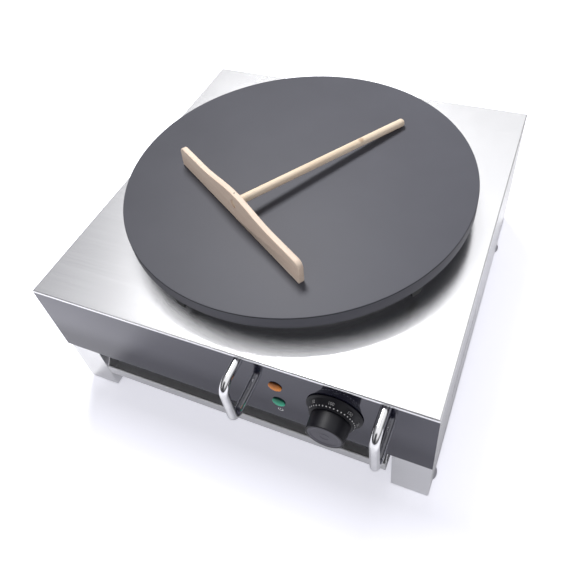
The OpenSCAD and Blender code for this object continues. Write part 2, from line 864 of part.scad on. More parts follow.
module rail_left() { color(zinc) mirror([1, 0, 0]) rail(); }

module rail_screws() {
    color(zinc) for (s = [-1, 1], y = rail_screw_ys) scale_side(s)
        translate([rail_screw_x, y, base_z - rail_t]) rotate([180, 0, 0])
            pan_screw(m4_r, rail_screw_l, m4_head_r, m4_head_h);
}

// ---------------------------------------------------------------- feet

module foot(s, y) {
    flange_top = body_bottom + sheet_t;
    translate([s * foot_x, y, 0]) rotate_extrude() polygon([
        [0, 0], [foot_r - foot_edge, 0], [foot_r, foot_edge], [foot_r, body_bottom],
        [foot_neck_r, body_bottom], [foot_neck_r, flange_top], [foot_barb_r, flange_top],
        [foot_neck_r - foot_edge, flange_top + foot_barb_h], [0, flange_top + foot_barb_h]
    ]);
}

module foot_front_left() { color(pale) foot(-1, foot_ys[0]); }

module foot_front_right() { color(pale) foot(1, foot_ys[0]); }

module foot_rear_left() { color(pale) foot(-1, foot_ys[1]); }

module foot_rear_right() { color(pale) foot(1, foot_ys[1]); }

// ---------------------------------------------------------------- griddle

module lug(angle) {
    taper = 2;
    intersection() {
        at_griddle(0, 0) difference() {
            rod_z(0, 0, rim_z - lug_h, rim_z + plate_recess, plate_r);
            rod_z(0, 0, rim_z - lug_h - past, rim_z + plate_recess + past, plate_r - lug_t);
        }
        at_griddle(angle, 0) along_x(plate_r / 2, plate_r + past)
            polygon([[-lug_w / 2, rim_z + plate_recess], [-lug_w / 2, rim_z],
                     [-lug_w / 2 + taper, rim_z - lug_h], [lug_w / 2 - taper, rim_z - lug_h],
                     [lug_w / 2, rim_z], [lug_w / 2, rim_z + plate_recess]]);
    }
}

module clip_screw_places() {
    for (s = [-1, 1]) translate([bulb_x + s * (bulb_r + clip_t + clip_tab / 2), plate_y, 0]) children();
}

module hotplate() {
    recess_r = plate_r - plate_rim;
    color(iron) difference() {
        union() {
            at_griddle(0, 0) rotate_extrude($fn = 96) polygon([
                [0, recess_z], [recess_r - 2, recess_z], [recess_r, rim_z], [plate_r - plate_edge, rim_z],
                [plate_r, rim_z + plate_edge], [plate_r, plate_top - plate_edge],
                [plate_r - plate_edge, plate_top], [0, plate_top]
            ]);
            for (i = [0 : lug_count - 1]) lug(lug_turn - i * 360 / lug_count);
            for (a = stud_angles) at_griddle(a, stud_circle_r)
                rod_z(0, 0, boss_bottom, recess_z + past, boss_r);
            for (a = clamp_angles) at_griddle(a, screw_circle_r)
                rod_z(0, 0, clamp_boss_bottom, recess_z + past, clamp_boss_r);
        }
        for (a = stud_angles) at_griddle(a, stud_circle_r)
            rod_z(0, 0, boss_bottom - past, recess_z + blind_depth, stud_r + thread_fit);
        for (a = clamp_angles) at_griddle(a, screw_circle_r)
            rod_z(0, 0, clamp_boss_bottom - past, recess_z + clamp_hole_depth, clamp_screw_r + thread_fit);
        clip_screw_places() rod_z(0, 0, recess_z - past, recess_z + clip_screw_l, clip_screw_r + thread_fit);
    }
}

module heating_element() {
    sweep = 360 - 2 * element_open;
    color([0.35, 0.33, 0.32]) {
        for (r = turn_rs) translate([plate_x, plate_y, tube_z]) rotate([0, 0, 90 + element_open])
            rotate_extrude(angle = sweep) translate([r, 0]) circle(tube_r);
        translate([0, 0, tube_z]) {
            at_griddle(90 - element_open, (turn_rs[0] + turn_rs[1]) / 2) element_return();
            at_griddle(90 + element_open, (turn_rs[1] + turn_rs[2]) / 2) rotate([0, 0, 180]) element_return();
        }
    }
}

// Half-turn that joins two neighbouring turns
module element_return() {
    rotate_extrude(angle = 180) translate([element_pitch / 2, 0]) circle(tube_r);
}

// Cold terminals that stand under the ends of the element's tube
module element_terminals() {
    color(zinc) for (e = element_ends) {
        rod_z(e[0], e[1], lead_bottom, clamp_top, lead_r);
        rod_z(e[0], e[1], lead_bottom - pin_l, lead_bottom + past, pin_r);
    }
}

module element_clamp() {
    color(zinc) difference() {
        translate([plate_x, plate_y, insulation_top]) linear_extrude(clamp_t) difference() {
            union() {
                circle(clamp_ring_r);
                for (a = clamp_angles) rotate([0, 0, a]) translate([0, -clamp_arm_w / 2])
                    square([turn_rs[0] + tube_r + clamp_arm_past, clamp_arm_w]);
            }
            circle(clamp_bore_r);
        }
        for (a = clamp_angles) at_griddle(a, screw_circle_r)
            rod_z(0, 0, insulation_top - past, clamp_top + past, clamp_screw_r + fit);
    }
}

module clamp_screws() {
    color(zinc) for (a = clamp_angles) at_griddle(a, screw_circle_r) translate([0, 0, shield_floor])
        rotate([180, 0, 0])
            pan_screw(clamp_screw_r, recess_z + clamp_screw_grip - shield_floor, clamp_head_r, clamp_head_h);
}

module clamp_screw_holes(z0, z1) {
    for (a = clamp_angles) at_griddle(a, screw_circle_r) rod_z(0, 0, z0, z1, clamp_screw_r + fit);
}

module insulation_disc() {
    color([0.85, 0.84, 0.78]) difference() {
        at_griddle(0, 0) rod_z(0, 0, shield_floor_top, insulation_top, insulation_r);
        griddle_holes(shield_floor_top - past, insulation_top + past, stud_hole_r);
        clamp_screw_holes(shield_floor_top - past, insulation_top + past);
    }
}

module heat_shield() {
    color(zinc) difference() {
        at_griddle(0, 0) difference() {
            rod_z(0, 0, shield_floor, shield_wall_top, shield_r);
            rod_z(0, 0, shield_floor_top, shield_wall_top + past, shield_r - shield_t);
        }
        griddle_holes(shield_floor - past, shield_floor_top + past, stud_hole_r);
        clamp_screw_holes(shield_floor - past, shield_floor_top + past);
    }
}

module plate_spacers() {
    color(zinc) for (a = stud_angles) at_griddle(a, stud_circle_r) difference() {
        rod_z(0, 0, body_top, boss_bottom, spacer_r);
        rod_z(0, 0, body_top - past, boss_bottom + past, stud_r + fit);
    }
}

module plate_studs() {
    color(zinc) for (a = stud_angles) at_griddle(a, stud_circle_r)
        rod_z(0, 0, plate_nut_top - plate_nut_h - stud_past_nut, recess_z + blind_depth - stud_clear, stud_r);
}

module plate_nuts() {
    color(zinc) for (a = stud_angles) at_griddle(a, stud_circle_r)
        translate([0, 0, plate_nut_top - plate_nut_h])
            hex_nut(plate_nut_r, plate_nut_h, stud_r + thread_fit);
}

// ---------------------------------------------------------------- thermostat

module thermostat_body() {
    color([0.85, 0.83, 0.76]) difference() {
        union() {
            span_box([knob_x - thermo_w / 2, skin_y, knob_z - thermo_h / 2],
                     [knob_x + thermo_w / 2, thermo_back, knob_z + thermo_h / 2]);
            rod_y(knob_x, knob_z, front_y - bushing_out, skin_y + past, bushing_r);
            for (s = [-1, 1], z = tab_zs)
                span_box([knob_x + s * tab_x - tab_w / 2, thermo_back - past, knob_z + z],
                         [knob_x + s * tab_x + tab_w / 2, thermo_back + tab_l, knob_z + z + tab_t]);
        }
        rod_y(knob_x, knob_z, front_y - bushing_out - past, front_y + bushing_depth, shaft_r + shaft_fit);
        for (s = [-1, 1])
            rod_y(knob_x + s * thermo_screw_x, knob_z, skin_y - past, skin_y + thermo_hole_depth,
                  m4_r + thread_fit);
    }
}

module thermostat_screws() {
    color(zinc) for (s = [-1, 1]) on_panel(knob_x + s * thermo_screw_x, knob_z)
        pan_screw(m4_r, panel_t + thermo_screw_l, m4_head_r, thermo_head_h);
}

module capillary_tube() {
    inlet_x = knob_x - thermo_w / 2 + capillary_inlet;
    jog_y = thermo_back + capillary_jog;
    color("peru") {
        rod_y(bulb_x, bulb_z, plate_y - bulb_l / 2, plate_y + bulb_l / 2, bulb_r);
        bent_bar([
            [bulb_x, plate_y - bulb_l / 2 + past, bulb_z], [bulb_x, capillary_y, bulb_z],
            [bulb_x, capillary_y, capillary_level], [bulb_x, jog_y, capillary_level],
            [inlet_x, jog_y, capillary_level], [inlet_x, thermo_back, capillary_level]
        ], capillary_r, capillary_bend);
    }
}

module bulb_clip() {
    wrap_r = bulb_r + fit / 2;
    color(zinc) difference() {
        translate([bulb_x, 0, bulb_z]) along_y(plate_y - clip_w / 2, plate_y + clip_w / 2) difference() {
            union() {
                circle(wrap_r + clip_t);
                translate([-bulb_r - clip_t - clip_tab, bulb_r - clip_t])
                    square([2 * (bulb_r + clip_t + clip_tab), clip_t]);
                translate([-wrap_r - clip_t, 0]) square([2 * (wrap_r + clip_t), bulb_r]);
            }
            circle(wrap_r);
            translate([-wrap_r, 0]) square([2 * wrap_r, bulb_r + past]);
            translate([-wrap_r - clip_t - past, bulb_r]) square([2 * (wrap_r + clip_t + past), 2 * clip_t]);
        }
        clip_screw_places() rod_z(0, 0, bulb_z, recess_z + past, clip_screw_r + fit);
    }
}

module clip_screws() {
    color(zinc) clip_screw_places() translate([0, 0, bulb_z + bulb_r - clip_t]) rotate([180, 0, 0])
        pan_screw(clip_screw_r, clip_screw_l, clip_head_r, clip_head_h);
}

// ---------------------------------------------------------------- controls

module dial_skirt() {
    color(black) on_panel(knob_x, knob_z) rotate_extrude($fn = 72) polygon([
        [skirt_r - skirt_wall, skirt_gap], [skirt_r, skirt_gap], [skirt_r, skirt_gap + skirt_lip],
        [skirt_r - rim_edge, skirt_gap + rim_edge], [skirt_top_r, skirt_top],
        [hub_r + knob_fit, skirt_top], [hub_r + knob_fit, skirt_top - skirt_wall],
        [skirt_top_r - skirt_wall, skirt_top - skirt_wall],
        [skirt_r - rim_edge - skirt_wall, skirt_gap + rim_edge]
    ]);
}

module knob() {
    color(black) on_panel(knob_x, knob_z) rotate_extrude($fn = 72) polygon([
        [shaft_r + knob_fit, hub_start], [hub_r, hub_start], [hub_r, skirt_top],
        [grip_r, skirt_top], [grip_r, skirt_top + grip_foot], [face_r, knob_reach - face_edge],
        [face_r - face_edge, knob_reach], [cap_r, knob_reach], [cap_r, knob_reach - cap_t],
        [0, knob_reach - cap_t], [0, knob_bore_end], [shaft_r + knob_fit, knob_bore_end]
    ]);
}

module knob_cap() {
    color([0.5, 0.5, 0.53]) on_panel(knob_x, knob_z) rotate_extrude($fn = 72) polygon([
        [0, knob_reach - cap_t], [cap_r - knob_fit, knob_reach - cap_t],
        [cap_r - knob_fit, knob_reach - cap_edge / 2], [cap_r - cap_edge, knob_reach],
        [cap_r - cap_rim, knob_reach], [cap_r - cap_rim - cap_slope, knob_reach - cap_dish],
        [0, knob_reach - cap_dish]
    ]);
}

module thermostat_shaft() {
    color(zinc) rod_y(knob_x, knob_z, front_y - knob_bore_end + shaft_end,
                      front_y + bushing_depth - shaft_end, shaft_r);
}

module lens(z) {
    on_panel(lamp_x, z) {
        translate([0, 0, -lens_neck_l]) cylinder(h = lens_neck_l + lens_flange_t, r = lens_neck_r);
        cylinder(h = lens_flange_t, r = lens_r);
        intersection() {
            translate([0, 0, lens_reach - dome_ball_r]) sphere(dome_ball_r, $fn = 144);
            translate([0, 0, lens_band]) cylinder(h = lens_reach, r = dome_r);
        }
    }
}

module orange_lens() { color([0.85, 0.45, 0.1, 0.8]) lens(lamp_zs[0]); }

module green_lens() { color([0.2, 0.6, 0.4, 0.8]) lens(lamp_zs[1]); }

module lamp_holder(z) {
    on_panel(lamp_x, z) rotate([180, 0, 0]) difference() {
        union() {
            translate([0, 0, panel_t]) cylinder(h = holder_l, r = holder_r);
            for (s = [-1, 1])
                translate([s * terminal_x - terminal_t / 2, -terminal_w / 2, panel_t])
                    cube([terminal_t, terminal_w, holder_l + terminal_l]);
        }
        translate([0, 0, panel_t - past])
            cylinder(h = lens_neck_l - panel_t + holder_gap + past, r = lamp_hole_r);
    }
}

module orange_lamp_holder() { color(black) lamp_holder(lamp_zs[0]); }

module green_lamp_holder() { color(black) lamp_holder(lamp_zs[1]); }

module handle(x) {
    out_y = front_y - handle_reach;
    difference() {
        bent_bar([
            [x, front_y, handle_low_z], [x, out_y, handle_low_z],
            [x, out_y, handle_high_z], [x, front_y, handle_high_z]
        ], handle_r, handle_bend);
        for (z = [handle_low_z, handle_high_z])
            rod_y(x, z, front_y - bolt_l, front_y + past, bolt_r + thread_fit);
    }
}

module left_handle() { color(chrome) handle(handle_left_x); }

module right_handle() { color(chrome) handle(handle_right_x); }

module handle_bolts() {
    color(zinc) handle_places() translate([0, 0, -panel_t]) rotate([180, 0, 0])
        pan_screw(bolt_r, panel_t + bolt_l - past, bolt_head_r, bolt_head_h);
}

// ---------------------------------------------------------------- cable entry

module cable_gland() {
    color(black) translate([gland_x, back_y, gland_z]) rotate([-90, 0, 0]) difference() {
        union() {
            cylinder(h = gland_hex_h, r = gland_hex_r, $fn = 6);
            translate([0, 0, gland_hex_h])
                cylinder(h = gland_reach - gland_hex_h - gland_dome_h, r = gland_body_r);
            translate([0, 0, gland_reach - gland_dome_h])
                cylinder(h = gland_dome_h, r1 = gland_body_r, r2 = gland_bore / 2 + gland_lip);
            translate([0, 0, -sheet_t - gland_in]) cylinder(h = sheet_t + gland_in + past, r = gland_neck_r);
        }
        translate([0, 0, -sheet_t - gland_in - past])
            cylinder(h = gland_reach + sheet_t + gland_in + 2 * past, r = gland_bore / 2);
    }
}

module gland_nut() {
    color(black) translate([gland_x, back_y - sheet_t - gland_nut_h, gland_z]) rotate([-90, 0, 0])
        hex_nut(gland_hex_r, gland_nut_h, gland_neck_r + thread_fit);
}

module terminal_block() {
    color([0.93, 0.93, 0.9]) difference() {
        span_box([block_x - block_w / 2, block_y, base_z + sheet_t],
                 [block_x + block_w / 2, block_y + block_d, base_z + sheet_t + block_h]);
        for (i = [0 : block_ways - 1]) {
            x = block_x + (i - (block_ways - 1) / 2) * block_w / block_ways;
            rod_y(x, block_bore_z, block_y - past, block_y + block_d + past, block_hole_r);
            for (y = [block_screw_y, block_d - block_screw_y])
                rod_z(x, block_y + y, block_bore_z, base_z + sheet_t + block_h + past, block_hole_r);
        }
    }
}

// ---------------------------------------------------------------- tray

// Side wall seen from the side: its front edge leans back from the top of the front wall
module tray_side_outline() {
    rake_run = (tray_side_h - tray_front_h) * tan(tray_rake);
    polygon([
        [front_y, tray_floor], [tray_back, tray_floor], [tray_back, tray_floor + tray_side_h],
        [front_y + rake_run, tray_floor + tray_side_h], [front_y, tray_floor + tray_front_h - hem_r]
    ]);
}

module tray() {
    top = tray_floor + tray_front_h;
    color(steel) {
        span_box([-tray_half, front_y, tray_floor], [tray_half, tray_back, tray_floor + tray_t]);
        span_box([-tray_half, front_y, tray_floor], [tray_half, front_y + tray_t, top - hem_r]);
        rod_x(front_y + hem_r, top - hem_r, -tray_half, tray_half, hem_r);
        span_box([-tray_half, tray_back - tray_t, tray_floor],
                 [tray_half, tray_back, tray_floor + tray_side_h]);
        for (x = [-tray_half, tray_half - tray_t]) along_x(x, x + tray_t) tray_side_outline();
    }
}

// ---------------------------------------------------------------- spreader

// Stands on the blade's back lower edge, so that the leaning stick just clears the griddle
module in_spreader() {
    translate([spreader_x, spreader_y, plate_top + spreader_rest]) rotate([0, 0, spreader_turn])
        translate([0, blade_t, 0]) rotate([-lean, 0, 0]) translate([0, -blade_t, 0]) children();
}

function blade_top(s) = abs(s) > blade_swell / 2 ? blade_h
    : blade_h + blade_rise * (1 + cos(360 * s / blade_swell)) / 2;

module blade_outline() {
    half = blade_l / 2;
    arc = [for (a = [0 : 15 : 90]) a];
    polygon(concat(
        [[-half, 0], [half, 0]],
        [for (a = arc) [half - blade_corner_r + blade_corner_r * cos(a),
                        blade_h - blade_corner_r + blade_corner_r * sin(a)]],
        [for (i = [0 : blade_steps])
            let (s = blade_swell * (0.5 - i / blade_steps)) [s, blade_top(s)]],
        [for (a = arc) [-half + blade_corner_r - blade_corner_r * sin(a),
                        blade_h - blade_corner_r + blade_corner_r * cos(a)]]
    ));
}

module spreader_blade() {
    color(wood) in_spreader() difference() {
        along_y(0, blade_t) blade_outline();
        rod_y(0, stick_h, -past, blade_t + past, stick_r + stick_fit);
        rod_z(0, blade_t / 2, stick_h, blade_h + blade_rise + past, stick_pin_r + stick_pin_fit);
    }
}

module spreader_stick() {
    color(wood) in_spreader() difference() {
        union() {
            rod_y(0, stick_h, 0, stick_l - stick_r, stick_r);
            translate([0, stick_l - stick_r, stick_h]) sphere(stick_r);
        }
        rod_z(0, blade_t / 2, stick_h, stick_h + stick_r + past, stick_pin_r + stick_pin_fit);
    }
}

module spreader_pin() {
    color(wood) in_spreader() rod_z(0, blade_t / 2, stick_h + fit, blade_h + blade_rise, stick_pin_r);
}

// ---------------------------------------------------------------- assembly

top_cover();
lid_stiffeners();
cover_nuts();
side_panel_left();
side_panel_right();
front_panel();
panel_nuts();
rear_cover();
rear_screws();
base_plate();
base_nuts();
rail_left();
rail_right();
rail_screws();
foot_front_left();
foot_front_right();
foot_rear_left();
foot_rear_right();
hotplate();
heating_element();
element_terminals();
element_clamp();
clamp_screws();
insulation_disc();
heat_shield();
plate_spacers();
plate_studs();
plate_nuts();
thermostat_body();
thermostat_screws();
capillary_tube();
bulb_clip();
clip_screws();
terminal_block();
cable_gland();
gland_nut();
orange_lens();
green_lens();
orange_lamp_holder();
green_lamp_holder();
left_handle();
right_handle();
handle_bolts();
knob();
dial_skirt();
knob_cap();
thermostat_shaft();
tray();
spreader_blade();
spreader_stick();
spreader_pin();
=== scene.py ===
"""Electric crepe maker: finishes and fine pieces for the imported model, and the studio round it.

Every length is in metres. X runs to the right, Y to the back and Z up, from the table.
"""

from math import acos, atan, atan2, cos, pi, radians, sin, tan

import bmesh
import bpy
from bpy.props import FloatProperty, FloatVectorProperty, IntProperty, PointerProperty
from bpy.types import Operator, Panel, PropertyGroup
from mathutils import Matrix, Vector


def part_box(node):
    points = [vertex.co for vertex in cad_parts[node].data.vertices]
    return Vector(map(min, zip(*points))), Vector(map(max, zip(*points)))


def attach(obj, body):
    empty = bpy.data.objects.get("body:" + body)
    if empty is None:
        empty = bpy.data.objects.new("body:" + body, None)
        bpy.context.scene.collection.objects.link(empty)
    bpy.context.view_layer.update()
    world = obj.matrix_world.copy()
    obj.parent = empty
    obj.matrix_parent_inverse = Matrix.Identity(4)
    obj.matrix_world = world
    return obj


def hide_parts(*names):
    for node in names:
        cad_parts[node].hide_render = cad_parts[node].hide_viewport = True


bl_info = {
    "name": "Electric crepe maker",
    "version": (1, 0, 0),
    "blender": (4, 5, 0),
    "location": "View3D > Sidebar > Crepe maker",
    "description": "Dresses the crepe maker's parts and sets up its studio",
    "category": "Object",
}

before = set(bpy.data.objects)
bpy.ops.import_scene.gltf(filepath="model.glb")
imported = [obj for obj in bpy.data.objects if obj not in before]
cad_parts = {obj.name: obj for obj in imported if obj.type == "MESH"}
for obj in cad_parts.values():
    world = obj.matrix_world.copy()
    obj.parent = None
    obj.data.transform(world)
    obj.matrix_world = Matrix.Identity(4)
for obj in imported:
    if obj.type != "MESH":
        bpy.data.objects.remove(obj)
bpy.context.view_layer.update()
MM = 0.001
INK = 0.06 * MM  # a print's thickness
ALONG_X, ALONG_Y = 0, 1
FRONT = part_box("front_panel")[0].y
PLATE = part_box("hotplate")

# The dial's printed cone, as radius and height in millimetres, and the direction of its first figure.
CONE_FOOT, CONE_TOP = (27.5, 2.0), (22.4, 10.2)
FIRST_FIGURE = radians(135.6)

# The rays that see what a surface mirrors or lets through.
MIRRORS = ("Is Glossy Ray", "Is Transmission Ray")

# The spreader: a dowel in a standing board, whose crest is highest over the dowel.
DOWEL_RADIUS = 4.75 * MM
DOWEL_LENGTH = 239 * MM
BORE_HEIGHT = 20 * MM
BLADE_THICKNESS = 6.5 * MM
BLADE_HALF = 118.5 * MM
SHOULDER_HEIGHT = 26 * MM
CREST_REACH = 70 * MM


# ---- node trees


class Value:
    """A node's output that can stand in sums."""

    def __init__(self, tree, socket):
        self.tree, self.socket = tree, socket

    def maths(self, operation, *values):
        """One maths node's result."""
        return self.tree.add("ShaderNodeMath", dict(enumerate(values)), operation=operation)

    def __add__(self, other):
        return self.maths("ADD", self, other)

    def __sub__(self, other):
        return self.maths("SUBTRACT", self, other)

    def __rsub__(self, other):
        return self.maths("SUBTRACT", other, self)

    def __mul__(self, other):
        return self.maths("MULTIPLY", self, other)

    def __truediv__(self, other):
        return self.maths("DIVIDE", self, other)

    def __rtruediv__(self, other):
        return self.maths("DIVIDE", other, self)

    def __pow__(self, other):
        return self.maths("POWER", self, other)

    __radd__ = __add__
    __rmul__ = __mul__

    def sin(self):
        return self.maths("SINE", self)

    def cos(self):
        return self.maths("COSINE", self)

    def clip(self):
        """The value, held between 0 and 1."""
        return self.tree.add("ShaderNodeClamp", {0: self})

    def spread(self, low, high):
        """The value's range from low to high stretched over 0 to 1."""
        return ((self - low) / (high - low)).clip()


class Tree:
    """Adds nodes to a shader or geometry tree."""

    def __init__(self, tree):
        self.tree = tree

    def add(self, kind, inputs=None, out=0, **settings):
        """A node of this type, set up and fed, as the value of one of its outputs."""
        node = self.tree.nodes.new(kind)
        for name, setting in settings.items():
            setattr(node, name, setting)
        for name, given in (inputs or {}).items():
            if isinstance(given, Value):
                self.tree.links.new(given.socket, node.inputs[name])
            else:
                node.inputs[name].default_value = given
        return Value(self, node.outputs[out])

    def ramp(self, factor, *stops):
        """A grey that runs through others, each at its own place."""
        grey = self.add("ShaderNodeValToRGB", {0: factor})
        elements = grey.socket.node.color_ramp.elements
        while len(elements) < len(stops):
            elements.new(1.0)
        for element, (place, level) in zip(elements, stops):
            element.position = place
            element.color = (level, level, level, 1.0)
        return grey

    def vectors(self, operation, *values, out=0):
        """One vector maths node's result."""
        return self.add("ShaderNodeVectorMath", dict(enumerate(values)), out, operation=operation)

    def blend(self, factor, low, high):
        """A colour between two others."""
        low, high = [c if isinstance(c, Value) else (*c, 1.0) for c in (low, high)]
        return self.add("ShaderNodeMix", {0: factor, 6: low, 7: high}, 2, data_type="RGBA")

    def parts(self, vector):
        """The three components of a vector."""
        node = self.add("ShaderNodeSeparateXYZ", {0: vector}).socket.node
        return [Value(self, socket) for socket in node.outputs]

    def end(self, kind, shader):
        """Links the finished shader to the tree's output."""
        node = self.tree.nodes.new(kind)
        self.tree.links.new(shader.socket, node.inputs["Surface"])


class Finish(Tree):
    """A procedural material on an object's own coordinates."""

    def __init__(self, name):
        self.material = bpy.data.materials.new(name)
        self.material.use_nodes = True
        super().__init__(self.material.node_tree)
        self.tree.nodes.clear()
        self.place = self.add("ShaderNodeTexCoord", out=3)

    def mapped(self, scale, turn=(0, 0, 0)):
        """The object's coordinates, turned and then stretched."""
        turned = self.add("ShaderNodeMapping", {"Vector": self.place, "Rotation": turn})
        return self.add("ShaderNodeMapping", {"Vector": turned, "Scale": scale})

    def noise(self, scale, detail=3.0, turn=(0, 0, 0), rough=0.55, warp=0.0):
        """Noise with these many features a metre along each axis."""
        scale = scale if hasattr(scale, "__len__") else (scale,) * 3
        look = {"Scale": 1.0, "Detail": detail, "Roughness": rough, "Distortion": warp}
        return self.add("ShaderNodeTexNoise", {"Vector": self.mapped(scale, turn), **look})

    def mottled(self, noise, low, high):
        """A colour that wanders between two others with a noise."""
        return self.blend(noise.spread(0.3, 0.7), low, high)

    def bump(self, height, strength, distance, normal=None):
        """A normal that follows a height, in metres, over the surface or over another normal."""
        sockets = {"Height": height, "Strength": strength, "Distance": distance}
        if normal:
            sockets["Normal"] = normal
        return self.add("ShaderNodeBump", sockets)

    def surface(self, **sockets):
        """Ends the tree in a Principled surface with these sockets, and gives the material."""
        named = {name.replace("_", " "): given for name, given in sockets.items()}
        self.end("ShaderNodeOutputMaterial", self.add("ShaderNodeBsdfPrincipled", named))
        return self.material


class Shaper(Tree):
    """A geometry tree with named inputs."""

    def __init__(self, name, inputs):
        super().__init__(bpy.data.node_groups.new(name, "GeometryNodeTree"))
        self.socket("Geometry", "INPUT", "Geometry")
        for label, given in inputs.items():
            kind = "Int" if isinstance(given, int) else "Float"
            self.socket(label, "INPUT", kind).default_value = given
        self.socket("Geometry", "OUTPUT", "Geometry")
        group = self.tree.nodes.new("NodeGroupInput")
        self.given = {s.name: Value(self, s) for s in group.outputs if s.name}

    def socket(self, name, way, kind):
        """A new input or output of the tree."""
        return self.tree.interface.new_socket(name=name, in_out=way, socket_type="NodeSocket" + kind)

    def vector(self, x, y, z):
        """A vector from three values."""
        return self.add("ShaderNodeCombineXYZ", {0: x, 1: y, 2: z})

    def ring(self, count, radius, start, step, height=0.0):
        """Points on a level circle, from a start angle by equal steps, in radians."""
        line = self.add("GeometryNodeMeshLine", {"Count": count})
        angle = self.add("GeometryNodeInputIndex") * step + start
        spot = self.vector(angle.cos() * radius, angle.sin() * radius, height)
        points = self.add("GeometryNodeSetPosition", {"Geometry": line, "Position": spot})
        return points, angle

    def stand_on(self, points, shape, angle):
        """A copy of a shape on each point, turned about Z with it."""
        sockets = {"Points": points, "Instance": shape, "Rotation": self.vector(0.0, 0.0, angle)}
        return self.add("GeometryNodeInstanceOnPoints", sockets)

    def join(self, *parts):
        """Several geometries as one."""
        node = self.tree.nodes.new("GeometryNodeJoinGeometry")
        for part in parts:
            self.tree.links.new(part.socket, node.inputs[0])
        return Value(self, node.outputs[0])

    def build(self, geometry, base=None):
        """The tree's result as a mesh."""
        end = self.tree.nodes.new("NodeGroupOutput")
        whole = self.add("GeometryNodeRealizeInstances", {0: geometry})
        self.tree.links.new(whole.socket, end.inputs[0])
        holder = linked("rule", base or bpy.data.meshes.new("rule"))
        holder.modifiers.new("rule", "NODES").node_group = self.tree
        return shown_by(holder)


# ---- meshes


def linked(name, data):
    """A new object in the scene."""
    thing = bpy.data.objects.new(name, data)
    bpy.context.scene.collection.objects.link(thing)
    return thing


def shown_by(holder):
    """The mesh that an object shows, kept instead of it."""
    seen = holder.evaluated_get(bpy.context.evaluated_depsgraph_get())
    mesh = bpy.data.meshes.new_from_object(seen)
    bpy.data.objects.remove(holder)
    return mesh


def piece(work, name, body, slot, material, stands_for=(), sharp=35.0):
    """Turns a finished bmesh into a piece that rides on a body."""
    mesh = bpy.data.meshes.new(name)
    work.to_mesh(mesh)
    work.free()
    mesh.materials.append(material)
    mesh.shade_smooth()
    mesh.set_sharp_from_angle(angle=radians(sharp))
    thing = linked(name, mesh)
    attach(thing, body)
    if stands_for:
        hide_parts(*stands_for)


def sealed(work, gap=1e-7):
    """A bmesh with its doubles merged and its faces pointing outwards."""
    bmesh.ops.remove_doubles(work, verts=work.verts, dist=gap)
    bmesh.ops.recalc_face_normals(work, faces=work.faces)
    return work


def closed(mesh):
    """A mesh as a sealed bmesh."""
    work = bmesh.new()
    work.from_mesh(mesh)
    return sealed(work, 1e-6)


def rounded(points, cuts, steps=4):
    """A profile with its inner corners rounded, each by its own radius."""
    out = [Vector(points[0])]
    for before, corner, after, r in zip(points, points[1:], points[2:], cuts):
        corner = Vector(corner)
        if r <= 0:
            out.append(corner)
            continue
        a = (Vector(before) - corner).normalized()
        b = (Vector(after) - corner).normalized()
        half = acos(max(-1.0, min(1.0, a.dot(b)))) / 2
        reach = r / tan(half)
        centre = corner + (a + b).normalized() * (r / sin(half))
        first, last = corner + a * reach - centre, corner + b * reach - centre
        for i in range(steps + 1):
            t = i / steps
            out.append(centre + (first * (1 - t) + last * t).normalized() * r)
    out.append(Vector(points[-1]))
    return out


def spun(profile, at, steps):
    """A body turned about the line that leaves the panel at a point; the profile is radius and height."""
    work = bmesh.new()
    rows = []
    for i in range(steps):
        a = 2 * pi * i / steps
        across, up = cos(a), sin(a)
        rows.append([work.verts.new((at[0] + r * across, at[1] - h, at[2] + r * up)) for r, h in profile])
    for row, other in zip(rows, rows[1:] + rows[:1]):
        for j in range(len(profile) - 1):
            work.faces.new((row[j], other[j], other[j + 1], row[j + 1]))
    return sealed(work)


def tube(work, rings):
    """Joins rings of vertices by faces, and closes the first and the last."""
    sides = len(rings[0])
    for near, far in zip(rings, rings[1:]):
        for j in range(sides):
            k = (j + 1) % sides
            work.faces.new((near[j], near[k], far[k], far[j]))
    work.faces.new(rings[0])
    work.faces.new(rings[-1])


def quarter(centre, r, start):
    """Points on a quarter circle, from a start angle in degrees, counter-clockwise."""
    for a in range(start, start + 91, 9):
        yield centre[0] + r * cos(radians(a)), centre[1] + r * sin(radians(a))


def millimetres(points):
    """Points given in millimetres, in metres."""
    return [Vector((x * MM, y * MM)) for x, y in points]


def scaled(colour, factor):
    """A colour, made darker or lighter."""
    return tuple(c * factor for c in colour)


def drawn_out(scale, axis, along):
    """A scale that has a value of its own along one axis."""
    scales = [scale] * 3
    scales[axis] = along
    return tuple(scales)


def paint(material, *names):
    """Gives CAD nodes a finish."""
    for name in names:
        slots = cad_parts[name].data.materials
        slots.clear()
        slots.append(material)


def centre(name):
    """The middle of a CAD node's box."""
    low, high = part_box(name)
    return (low + high) / 2


# ---- finishes


